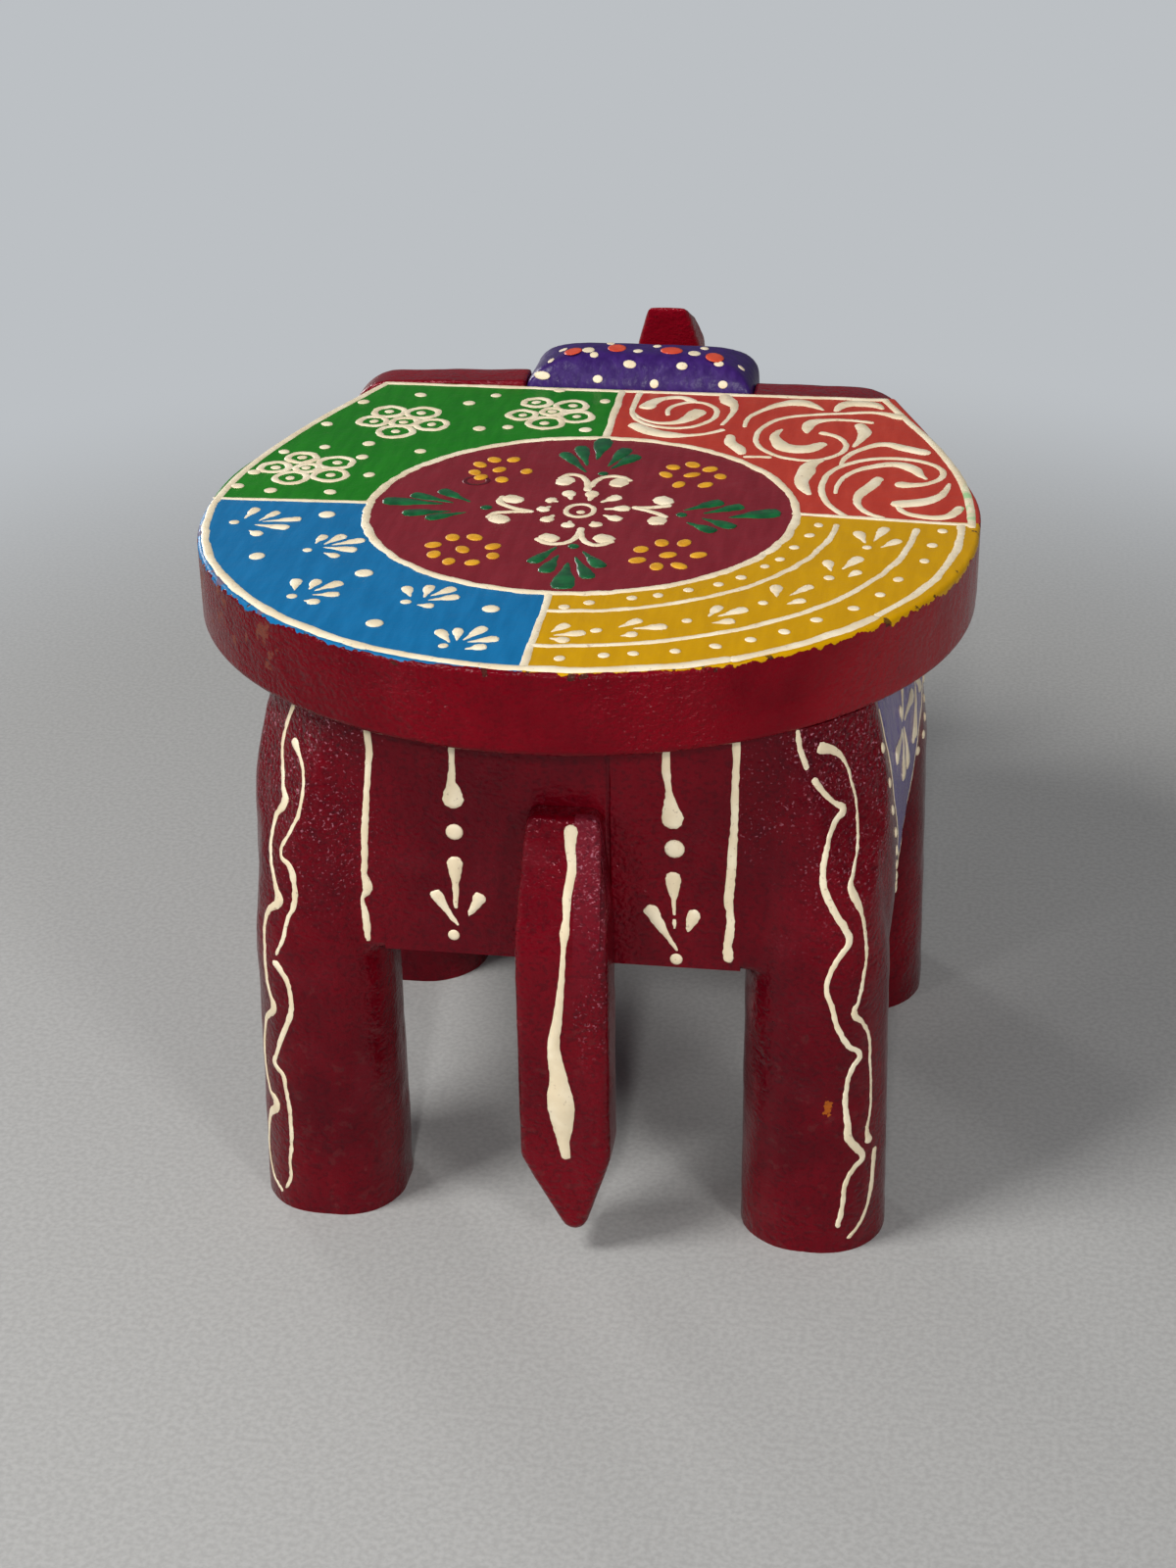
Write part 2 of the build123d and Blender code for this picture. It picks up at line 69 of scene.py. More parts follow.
class Shade:
    """A socket of a material. Arithmetic on it adds Math nodes to that material."""

    def __init__(self, tree, socket=None):
        self.tree = tree
        self.socket = socket

    def node(self, kind, settings=None, inputs=None, out=0):
        """Adds a node: first its settings, then its sockets' values or links."""
        node = self.tree.nodes.new("ShaderNode" + kind)
        for name, value in (settings or {}).items():
            setattr(node, name, value)
        for name, value in (inputs or {}).items():
            if isinstance(value, Shade):
                self.tree.links.new(value.socket, node.inputs[name])
            else:
                node.inputs[name].default_value = value
        return Shade(self.tree, node.outputs[out])

    def maths(self, operation, *others):
        """This value, and others where the operation takes them, through a Math node."""
        return self.node("Math", {"operation": operation}, dict(enumerate((self, *others))))

    __add__ = __radd__ = partialmethod(maths, "ADD")
    __sub__ = partialmethod(maths, "SUBTRACT")
    __mul__ = __rmul__ = partialmethod(maths, "MULTIPLY")
    __truediv__ = partialmethod(maths, "DIVIDE")
    __gt__ = partialmethod(maths, "GREATER_THAN")
    __lt__ = partialmethod(maths, "LESS_THAN")
    size = partialmethod(maths, "ABSOLUTE")

    def __rsub__(self, other):
        return self * -1 + other

    def length(self, other):
        """Distance from the origin of a point with these two coordinates."""
        return (self * self + other * other).maths("SQRT")

    def rise(self, low, high):
        """0 below low, 1 above high, and a smooth step between."""
        ends = {"Value": self, "From Min": low, "From Max": high}
        return self.node("MapRange", {"interpolation_type": "SMOOTHSTEP"}, ends)

    def blend(self, below, above):
        """The colour below where this mask is 0, and the one above where it is 1."""
        return self.node("Mix", {"data_type": "RGBA"}, {0: self, 6: below, 7: above}, out=2)

    def noise(self, scale, detail=2.0, stretch=(1, 1, 1)):
        """Cloudy noise, 0 to 1 about 0.5, on this position. Scale is patches per metre."""
        place = self.node("VectorMath", {"operation": "MULTIPLY"}, {0: self, 1: stretch})
        return self.node("TexNoise", {}, {"Vector": place, "Scale": scale, "Detail": detail})

    def axis(self, name):
        """One coordinate of this position, in millimetres."""
        return self.node("SeparateXYZ", {}, {0: self}, out=name) * 1000

    def coordinates(self):
        """X, Y and Z of this position in millimetres, with X and Y from the middle of the seat's circle."""
        return self.axis("X"), self.axis("Y") - SEAT_CENTRE_Y / MM, self.axis("Z")


def finish_of(name, recipe, **fixed):
    """A material: recipe gets the place on the surface and returns what each socket of the shader takes."""
    material = bpy.data.materials.new(name)
    material.use_nodes = True
    tree = material.node_tree
    tree.nodes.clear()
    shader = tree.nodes.new("ShaderNodeBsdfPrincipled")
    output = tree.nodes.new("ShaderNodeOutputMaterial")
    tree.links.new(shader.outputs[0], output.inputs["Surface"])
    for socket, value in fixed.items():
        shader.inputs[socket.replace("_", " ")].default_value = value
    place = Shade(tree).node("TexCoord", out="Object")
    for socket, shade in recipe(place).items():
        if socket == "Height":
            shade = place.node("Bump", {}, {"Height": shade, "Strength": 1.0, "Distance": MM})
            socket = "Normal"
        tree.links.new(shade.socket, shader.inputs[socket])
    return material


def put(name, data):
    """A new object of the scene with this data."""
    thing = bpy.data.objects.new(name, data)
    bpy.context.scene.collection.objects.link(thing)
    return thing


def select_only(*pieces):
    bpy.ops.object.select_all(action="DESELECT")
    for piece in pieces:
        piece.select_set(True)
    bpy.context.view_layer.objects.active = pieces[0]


def edit_all(piece):
    """Opens a piece for editing with all of it selected."""
    select_only(piece)
    bpy.ops.object.mode_set(mode="EDIT")
    bpy.ops.mesh.select_all(action="SELECT")


def copied_from(node, name):
    """A piece with a copy of a CAD node's mesh, its loose triangles merged."""
    piece = put(name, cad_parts[node].data.copy())
    piece.data.materials.clear()
    select_only(piece)
    bpy.ops.mesh.customdata_custom_splitnormals_clear()
    edit_all(piece)
    bpy.ops.mesh.remove_doubles(threshold=0.01 * MM)
    bpy.ops.object.mode_set(mode="OBJECT")
    return piece


def smooth_under(piece, degrees):
    """Shades a piece smooth, apart from its edges sharper than this angle."""
    select_only(piece)
    bpy.ops.object.shade_smooth_by_angle(angle=math.radians(degrees))


def done(piece, material, slot, *nodes):
    """Paints a finished piece, which rides on the stool's one body and may stand for CAD nodes."""
    piece.data.materials.clear()
    piece.data.materials.append(material)
    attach(piece, "root")
    if nodes:
        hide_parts(*nodes)


def crimson(place):
    """The brushed crimson lacquer anywhere on the stool: its colour, roughness and height in millimetres."""
    brushed = place.noise(420, 3, stretch=(1, 1, 0.3))
    clouds = place.noise(26, 3)
    dulled = place.noise(75, 4).rise(0.5, 0.75)
    pebbled = place.noise(30, 2).rise(0.36, 0.62)
    colour = (brushed * 0.2 + clouds * 0.8).rise(0.26, 0.74).blend(srgb(70, 0, 10), srgb(105, 0, 15))
    pebbles = place.noise(860, 2, stretch=(0.8, 0.8, 1))
    # The hollows between the pebbles are painted darker, as painted shade.
    colour = (pebbles.rise(0.5, 0.34) * 0.4).blend(colour, srgb(40, 4, 10))
    colour = (dulled * 0.25).blend(colour, srgb(98, 16, 28))
    swells = place.noise(120, 2)
    height = pebbles * (pebbled * 0.34 + 0.2) + place.noise(2200, 1) * 0.05 + swells * 0.5 + brushed * 0.05
    return colour, 0.13 + clouds * 0.1 + dulled * 0.14, height


def seat_recipe(place):
    x, y, z = place.coordinates()
    wander = place.noise(90, 2)
    streaks = place.noise(420, 3, stretch=(1, 0.16, 1)).rise(0.25, 0.8)
    green = streaks.blend(srgb(18, 108, 16), srgb(28, 120, 22))
    coral = streaks.blend(srgb(172, 52, 38), srgb(184, 62, 46))
    blue = streaks.blend(srgb(10, 100, 150), srgb(20, 110, 162))
    yellow = streaks.blend(srgb(190, 140, 0), srgb(200, 149, 1))
    maroon = streaks.blend(srgb(114, 26, 36), srgb(126, 34, 44))
    right = x > (-2.4 - 0.02 * y + (wander - 0.5) * 0.8)
    front = y > (0.4 + 3.4 * (x > 0))
    colour = front.blend(right.blend(blue, yellow), right.blend(green, coral))
    disc = (x - MEDALLION[0]).length(y - MEDALLION[1]) < (MEDALLION_RADIUS - 0.3 + (wander - 0.5) * 1.2)
    colour = disc.blend(colour, maroon)
    # How far a place lies beyond the cream border, over the edge and down the side. Yellow spills most.
    beyond = (1 - front) * (x.length(y) - PAINT_EDGE_RADIUS) + SEAT_TOP / MM - z
    ragged = (place.noise(330, 4) - 0.5) * 5 + (place.noise(70, 2) - 0.5) * 4
    spill = x.rise(12, 62) * 2.4 + (x * -1).rise(-30, 70) * 1.9
    on_top = beyond < (1.0 + (1 - front) * spill + ragged).maths("MAXIMUM", 0.3)
    # The side is painted brighter in random patches and most towards the right, as a painted highlight, and
    # paler still at its right end, as a painted sheen.
    side_colour, side_roughness, side_height = crimson(place)
    tone_and_painted_highlight = place.noise(60, 3).rise(-0.2, 0.9) * (x.rise(-40, 90) * 0.68 + 0.3)
    side_colour = tone_and_painted_highlight.blend(side_colour, srgb(132, 8, 24))
    side_colour = (x.rise(55, 95) * 0.3).blend(side_colour, srgb(150, 70, 70))
    side_height = side_height * 1.4
    colour = on_top.blend(side_colour, colour)
    near_edge = (1 - front) * (beyond > 0.3) * (beyond < 4)
    chipped = place.noise(260, 4).rise(0.63, 0.66) * near_edge
    colour = (chipped * 0.85).blend(colour, srgb(62, 34, 26))
    left_edge = (x < -60) * (y < -18) * (beyond > 1) * (beyond < 16)
    rubbed = left_edge * place.noise(190, 5).rise(0.585, 0.645)
    colour = (rubbed * 0.6).blend(colour, srgb(120, 70, 52))
    # A bubble broke in the maroon paint beside the left flower and left a ring.
    off_bubble = (x - BUBBLE[0]).length(y - BUBBLE[1])
    bubble = (off_bubble - BUBBLE_RADIUS).size().rise(0.8, 0.2) * on_top
    colour = (bubble * 0.7).blend(colour, srgb(58, 12, 24))
    roughness = on_top * (0.34 - side_roughness) + side_roughness + rubbed * 0.2
    flat = streaks * 0.05 + place.noise(1500, 2) * 0.05 + place.noise(160, 2) * 0.25
    height = on_top * (flat - side_height) + side_height - chipped * 0.25 + bubble * 0.3
    return {"Base Color": colour, "Roughness": roughness, "Height": height}


seat_paint = finish_of("seat_paint", seat_recipe, Specular_IOR_Level=0.4, IOR=1.22)
seat = copied_from("seat_board", "painted_seat_board")
# The two sides that narrow towards the head were sawn by eye and belly out a little.
SIDE_BELLY = 2.2 * MM
SIDE_LENGTH = 98 * MM
SIDE_INNER_X = 74 * MM
CUT_SPACING = 6 * MM
for cut in range(1, 16):
    edit_all(seat)
    bpy.ops.mesh.bisect(plane_co=(0, SEAT_CENTRE_Y + cut * CUT_SPACING, 0), plane_no=(0, 1, 0))
    bpy.ops.object.mode_set(mode="OBJECT")
for vertex in seat.data.vertices:
    ahead = (vertex.co.y - SEAT_CENTRE_Y) / SIDE_LENGTH
    if 0 < ahead < 1 and abs(vertex.co.x) > SIDE_INNER_X:
        vertex.co.x += math.copysign(SIDE_BELLY * math.sin(math.pi * ahead), vertex.co.x)
smooth_under(seat, 35)
done(seat, seat_paint, "seat_paint", "seat_board")

# ---- Seat nails ----
# Four wire nails hold the seat to the body. Their heads are sunk and stopped with filler, which is painted
# with the rest of the seat.


def steel_recipe(place):
    scratches = place.noise(2600, 2, stretch=(1, 1, 0.05))
    rust = place.noise(500, 3).rise(0.6, 0.75)
    colour = (rust * 0.6).blend(srgb(150, 150, 152), srgb(104, 62, 38))
    roughness = 0.3 + scratches * 0.3 + rust * 0.3
    return {"Base Color": colour, "Roughness": roughness, "Height": scratches * 0.04}


def painted(node, material):
    """Paints a CAD node that stays as it is."""
    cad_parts[node].data.materials.clear()
    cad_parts[node].data.materials.append(material)


painted("seat_nails", finish_of("nail_steel", steel_recipe, Metallic=0.9))
painted("nail_filler", seat_paint)

# ---- Raised cream lines on the seat ----
# Thick cream paint squeezed from a paper cone: a border inside the edge, a ring round the middle, four lines
# that part the quarters, and two arcs along the yellow one. It stands up to 0.4 mm proud, and uneven.
PASTE_RISE = 0.3
FLAT_TOP = 0.42 * MM
SMEAR_X = 95.2
SMEAR_Z = 160


def paste_recipe(place):
    patches = place.noise(160, 3)
    colour = patches.rise(0.35, 0.7).blend(srgb(226, 208, 174), srgb(238, 224, 194))
    dust = place.noise(900, 3).rise(0.64, 0.74)
    colour = (dust * 0.5).blend(colour, srgb(150, 116, 92))
    # Green paint was smeared on the border at the front of the right side.
    x, y, z = place.coordinates()
    along = y.rise(2, 8) * y.rise(34, 24)
    smeared = (x > SMEAR_X) * (z > SMEAR_Z) * along * place.noise(300, 3).rise(0.4, 0.6)
    colour = (smeared * 0.7).blend(colour, srgb(120, 196, 126))
    return {"Base Color": colour, "Roughness": 0.3 + patches * 0.2, "Height": place.noise(700, 2) * 0.1}


cream_paste = finish_of("cream_paste", paste_recipe, IOR=1.4)


def on_seat(x, y):
    """A place on the seat's top, in metres, from millimetres off the middle of its circle."""
    return Vector((x * MM, y * MM + SEAT_CENTRE_Y, SEAT_TOP))


def full(points):
    """Points (x, y, width), where one that was given without a width keeps the last one."""
    filled = []
    for x, y, *width in points:
        filled.append((x, y, width[0] if width else filled[-1][2]))
    return filled


def add_stroke(curve, knots, closed):
    """One stroke of the cone: knots are (place, width in millimetres). Its ends are rounded."""
    knots = [(place, width * MM) for place, width in knots]
    if not closed:
        (first, first_width), (second, _) = knots[:2]
        (before, _), (last, last_width) = knots[-2:]
        start = (first - second).normalized() * first_width
        end = (last - before).normalized() * last_width
        tip = [(first + start * 0.46, first_width * 0.3), (first + start * 0.32, first_width * 0.8)]
        knots = tip + knots
        knots += [(last + end * 0.32, last_width * 0.8), (last + end * 0.46, last_width * 0.3)]
    spline = curve.splines.new("BEZIER")
    spline.bezier_points.add(len(knots) - 1)
    for point, (place, width) in zip(spline.bezier_points, knots):
        point.co = place
        point.radius = width / 2
        point.handle_left_type = "AUTO"
        point.handle_right_type = "AUTO"
    spline.use_cyclic_u = closed
    spline.resolution_u = 6


def rippled(piece, noise_scale, strength, mid_level=0.5):
    """Pushes a piece's surface in and out a little, as a hand leaves it."""
    lumps = bpy.data.textures.new("lumps", "CLOUDS")
    lumps.noise_scale = noise_scale
    uneven = piece.modifiers.new("uneven", "DISPLACE")
    uneven.texture = lumps
    uneven.strength = strength * MM
    uneven.mid_level = mid_level
    bpy.ops.object.modifier_apply(modifier=uneven.name)


def piped(name, strokes, closed=False, uneven=0.45):
    """Strokes, each a list of (place, width in millimetres), as one mesh of cords with uneven sides."""
    curve = bpy.data.curves.new(name, "CURVE")
    curve.dimensions = "3D"
    curve.bevel_depth = 1.0
    curve.bevel_resolution = 2
    curve.use_fill_caps = True
    curve.twist_mode = "MINIMUM"
    for stroke in strokes:
        add_stroke(curve, stroke, closed)
    select_only(put(name, curve))
    bpy.ops.object.convert(target="MESH")
    piece = bpy.context.object
    edit_all(piece)
    bpy.ops.mesh.remove_doubles(threshold=0.001 * MM)
    bpy.ops.mesh.normals_make_consistent(inside=False)
    bpy.ops.object.mode_set(mode="OBJECT")
    rippled(piece, 0.0014, uneven)
    return piece


def settled(piece, material=cream_paste, slot="seat_paint", axis=2, level=SEAT_TOP, rise=PASTE_RISE):
    """Flattens strokes onto the plane where that axis is at level. Wide strokes sag to a flat top."""
    for vertex in piece.data.vertices:
        height = (vertex.co[axis] - level) * rise
        vertex.co[axis] = level + max(-FLAT_TOP, min(FLAT_TOP, height))
    smooth_under(piece, 60)
    done(piece, material, slot)


def seat_stroke(points):
    """Knots on the seat from (x, y, width) in millimetres."""
    return [(on_seat(x, y), width) for x, y, width in full(points)]


hand = random.Random(7)


def arc(radius, start, stop, width, centre=(0, 0), end_radius=None, step=3.0):
    """An arc laid by hand, in degrees from +X: its radius and width waver a little."""
    count = max(2, round(abs(stop - start) / step))
    points = []
    for number in range(count + 1):
        share = number / count
        turn = math.radians(start + (stop - start) * share)
        reach = radius + ((end_radius or radius) - radius) * share + hand.uniform(-0.22, 0.22)
        spread = width * hand.uniform(0.86, 1.14)
        points.append((centre[0] + reach * math.cos(turn), centre[1] + reach * math.sin(turn), spread))
    return seat_stroke(points)


def ruled(start, stop, width, step=6.0):
    """A straight line drawn by hand between two points of the seat."""
    count = max(2, round(math.dist(start, stop) / step))
    points = []
    for number in range(count + 1):
        share = number / count
        x = start[0] + (stop[0] - start[0]) * share + hand.uniform(-0.18, 0.18)
        y = start[1] + (stop[1] - start[1]) * share + hand.uniform(-0.18, 0.18)
        points.append((x, y, width * hand.uniform(0.85, 1.15)))
    return seat_stroke(points)


LEFT_SIDE = [
    (-74.8, 97.8, 2), (-80.5, 82), (-86.4, 65), (-90.9, 49), (-94.9, 32), (-97.6, 14), (-98.2, -0.5),
]
RIGHT_SIDE = [(72, 98, 2.2), (78.4, 82), (85.5, 65), (90.8, 49.3), (94.8, 33.6), (97.3, 15.7), (97.9, 1.4)]
borders = [
    ruled((-74.4, 98.5), (72, 98.2), 2.1),
    seat_stroke(LEFT_SIDE),
    seat_stroke(RIGHT_SIDE),
    arc(98.3, 180, 212, 2.2, end_radius=97.4),
    arc(97.4, 212, 270, 2.7, end_radius=97.2),
    seat_stroke([(-43.2, -87.4, 2.6), (-41, -88.8), (-38.4, -89.9)]),
    arc(97.2, 270.5, 297, 3.0, end_radius=98.0),
    arc(98.0, 298, 322, 2.6, end_radius=96.6),
    arc(96.4, 323, 360.5, 2.0, end_radius=95.2),
    ruled((-4.4, 98), (-3.6, 57.2), 2.2),
    ruled((-1.3, -54), (-0.5, -97), 1.8),
    ruled((-99, -0.3), (-57.2, 1.0), 1.7),
    ruled((53, 5.2), (97, 2.4), 1.7),
    arc(66, -88, -3, 1.7, MEDALLION),
    arc(86.2, -89, -3, 1.8, MEDALLION),
]
settled(piped("cream_border_lines", borders))
settled(piped("cream_medallion_ring", [arc(MEDALLION_RADIUS, 0, 357, 2.3, MEDALLION)], closed=True))

# ---- Green quarter: rosettes and dots ----
# Three rosettes of five looped petals round a looped middle, each loop with a dot in it, among single dots.
# All of it is the same cream paste.
ROSETTE_LOOPS = [
    (-21.8, 77.9, 3.7), (-27.5, 85.4, 4.5), (-17.1, 83.6, 5), (-30, 74.3, 4.6), (-14.3, 74.3, 5.2),
    (-22.1, 68.2, 5.5), (-62.1, 64.6, 4.3), (-68.2, 72.9, 5), (-58.6, 72.9, 5.2), (-71.1, 64.3, 4.6),
    (-53.9, 63.2, 5), (-62.9, 56.4, 5.5), (-80.4, 24.6, 3.8), (-83.6, 32.5, 4.5), (-73.6, 29.6, 5.2),
    (-89.3, 24.3, 4.6), (-72.9, 20, 5.2), (-82.9, 16.8, 5),
]
GREEN_DOTS = [
    (-22.7, 97.1), (-62.4, 88.7), (-40.4, 90.5), (-46.9, 82.9), (-8.1, 88.7), (-77.6, 80.7), (-83.6, 60.6),
    (-39.9, 61.4), (-32.1, 63.4), (-10.1, 63.6), (-68.1, 45.7), (-79.6, 41.6), (-52.6, 41.1), (-89.9, 36.6),
    (-67.5, 34.8), (-93.9, 19.9), (-62.5, 21.3), (-95.5, 9.1), (-85.9, 6.8), (-69.9, 7.4),
]


def dot_master(name):
    """One dot of paste, a low dome a metre across, to be copied at its real size."""
    bpy.ops.object.select_all(action="DESELECT")
    bpy.ops.mesh.primitive_uv_sphere_add(segments=14, ring_count=7, radius=0.5)
    master = bpy.context.object
    master.name = name
    edit_all(master)
    bpy.ops.mesh.bisect(plane_co=(0, 0, -0.25), plane_no=(0, 0, 1), use_fill=True, clear_inner=True)
    bpy.ops.object.mode_set(mode="OBJECT")
    bpy.ops.object.shade_smooth()
    return master


def scattered(name, dots, material=cream_paste, slot="crimson_lacquer"):
    """Dots as one piece: (place, outward direction, width, length, height, turn), sizes in millimetres."""
    master = dot_master("dot_master")
    copies = []
    for place, outward, width, length, height, turn in dots:
        copy = put(name, master.data.copy())
        facing = outward.to_track_quat("Z", "Y").to_matrix().to_4x4()
        size = Matrix.Diagonal((width * MM, length * MM, height * MM, 1))
        copy.matrix_world = Matrix.Translation(place) @ facing @ Matrix.Rotation(turn, 4, "Z") @ size
        copies.append(copy)
    select_only(*copies)
    bpy.ops.object.join()
    bpy.ops.object.transform_apply(location=True, rotation=True, scale=True)
    bpy.data.objects.remove(master)
    done(bpy.context.object, material, slot)


UP = Vector((0, 0, 1))


def seat_dots(spots, radius):
    """Dots on the seat from (x, y), each a little out of round."""
    dots = []
    for x, y in spots:
        width = 2 * radius * hand.uniform(0.9, 1.1)
        length = 2 * radius * hand.uniform(0.9, 1.15)
        dots.append((on_seat(x, y), UP, width, length, radius * 0.45, hand.uniform(0, 3)))
    return dots


loops = []
loop_middles = []
for x, y, radius in ROSETTE_LOOPS:
    loops.append(arc(radius - 0.7, 0, 330, 1.9, (x, y), step=30))
    loop_middles.append((x + hand.uniform(-0.4, 0.4), y + hand.uniform(-0.3, 0.3)))
settled(piped("cream_rosette_loops", loops, closed=True))
green_quarter_dots = seat_dots(loop_middles, 1.35) + seat_dots(GREEN_DOTS, 1.75)
scattered("cream_green_quarter_dots", green_quarter_dots, slot="seat_paint")

# ---- Blue and yellow quarters: sprays and dots ----
# Sprays of small drops, each pulled to a tail towards a dot, and rows of dots between the yellow arcs. Each
# drop is one touch of the cone, lifted off along its tail: the place of its head, then of its tail.
BLUE_SPRAYS = [
    (-86.3, -7.5, -87.3, -13.6), (-80.4, -9.3, -83.2, -15), (-73.9, -12.9, -82.1, -15.4),
    (-75.7, -18.9, -83.6, -17.9), (-81.4, -23.9, -83.9, -22), (-64.1, -24.3, -65, -28.6),
    (-59.6, -23.6, -62.5, -28.9), (-54.3, -25.7, -60.7, -29.3), (-55, -31.9, -62.1, -31.1),
    (-58.2, -36.3, -61.3, -34.6), (-63.7, -53.6, -62.7, -58.9), (-58.8, -53.2, -59.3, -57.9),
    (-53.4, -53.9, -57.7, -58.6), (-52.5, -60.4, -57.7, -61.2), (-56.4, -65.4, -58.9, -64.9),
    (-35.9, -55, -34.1, -59.6), (-30.7, -53.6, -30.7, -59.6), (-25.4, -54.3, -29.3, -58.6),
    (-23.6, -58.9, -29.3, -61.2), (-28.6, -64.6, -31.4, -64.3), (-22.7, -79.6, -19.6, -85),
    (-18.9, -78.2, -18.1, -83.6), (-13.6, -76.8, -16.6, -83.2), (-10, -82.1, -15.4, -84.3),
    (-12.1, -86.8, -15.2, -88.2),
]
YELLOW_SPRAYS = [
    (69.9, -6.8, 71.8, -12.9), (76.1, -3.2, 73.9, -11.4), (79.4, -11.1, 75.9, -15.4),
    (63.4, -27, 64.5, -32.1), (70.5, -23.9, 67.1, -30.7), (70.7, -32.5, 68.9, -35.4),
    (52.1, -44.3, 52.7, -49.6), (59.8, -42.9, 55.7, -48.6), (58.4, -51.6, 55.4, -53.9),
    (39.4, -58, 37.9, -63.2), (45.2, -58.7, 40, -62.9), (42.9, -65.6, 39.1, -67), (21.4, -68, 17.9, -71.8),
    (27.5, -70.6, 21.3, -72.3), (21.4, -75.7, 18.9, -76.8), (5.1, -72.7, 2.7, -76.4),
    (9.3, -76.4, 3.7, -78.2), (6.1, -80.7, 3, -80),
]
SPRAY_DOTS = [
    (-89.3, -16.8), (-65.9, -33.4), (-62.4, -62.7), (-34.5, -62.9), (-20.6, -87.1), (72.4, -15.9),
    (64.3, -36.6), (49.8, -53.8), (33.1, -66.4), (12.9, -74.4),
]
BLUE_DOTS = [(-66.8, -8.9), (-77.4, -38.8), (-48.4, -46.6), (-13.6, -64.8), (-39.1, -76.3)]
YELLOW_INNER_DOTS = [
    (59.5, -2.1), (57.7, -9.4), (54.5, -17.9), (51.6, -26.1), (48.3, -31.1), (43.2, -38.8), (38.2, -43.7),
    (31.4, -48), (24.6, -52.1), (18.6, -54.4), (8.9, -58.4), (3.4, -61.6),
]
YELLOW_OUTER_DOTS = [
    (90.7, -2.7), (88.4, -12.7), (86.8, -23.2), (80.9, -35.7), (77, -45.7), (71.2, -54.6), (63, -62.4),
    (56.1, -70.1), (48.8, -75.5), (41.2, -80.1), (32.4, -83.9), (23.1, -86.3), (16.6, -88.1), (6.9, -90.9),
]


def drop(head_x, head_y, tail_x, tail_y, radius, tail_width=0.3):
    """A drop of paste from its round head to its tail, in millimetres on the seat."""
    points = []
    for share, width in ((0, 2), (0.3, 1.75), (0.62, 0.85), (1, tail_width / radius)):
        x = head_x + (tail_x - head_x) * share
        y = head_y + (tail_y - head_y) * share
        points.append((x, y, width * radius))
    return seat_stroke(points)


spray_drops = [drop(*ends, hand.uniform(1.35, 1.7)) for ends in BLUE_SPRAYS + YELLOW_SPRAYS]
settled(piped("cream_spray_drops", spray_drops))
back_dots = seat_dots(SPRAY_DOTS + YELLOW_INNER_DOTS, 1.3) + seat_dots(BLUE_DOTS, 2.2)
back_dots += seat_dots(YELLOW_OUTER_DOTS, 1.4)
scattered("cream_back_quarter_dots", back_dots, slot="seat_paint")

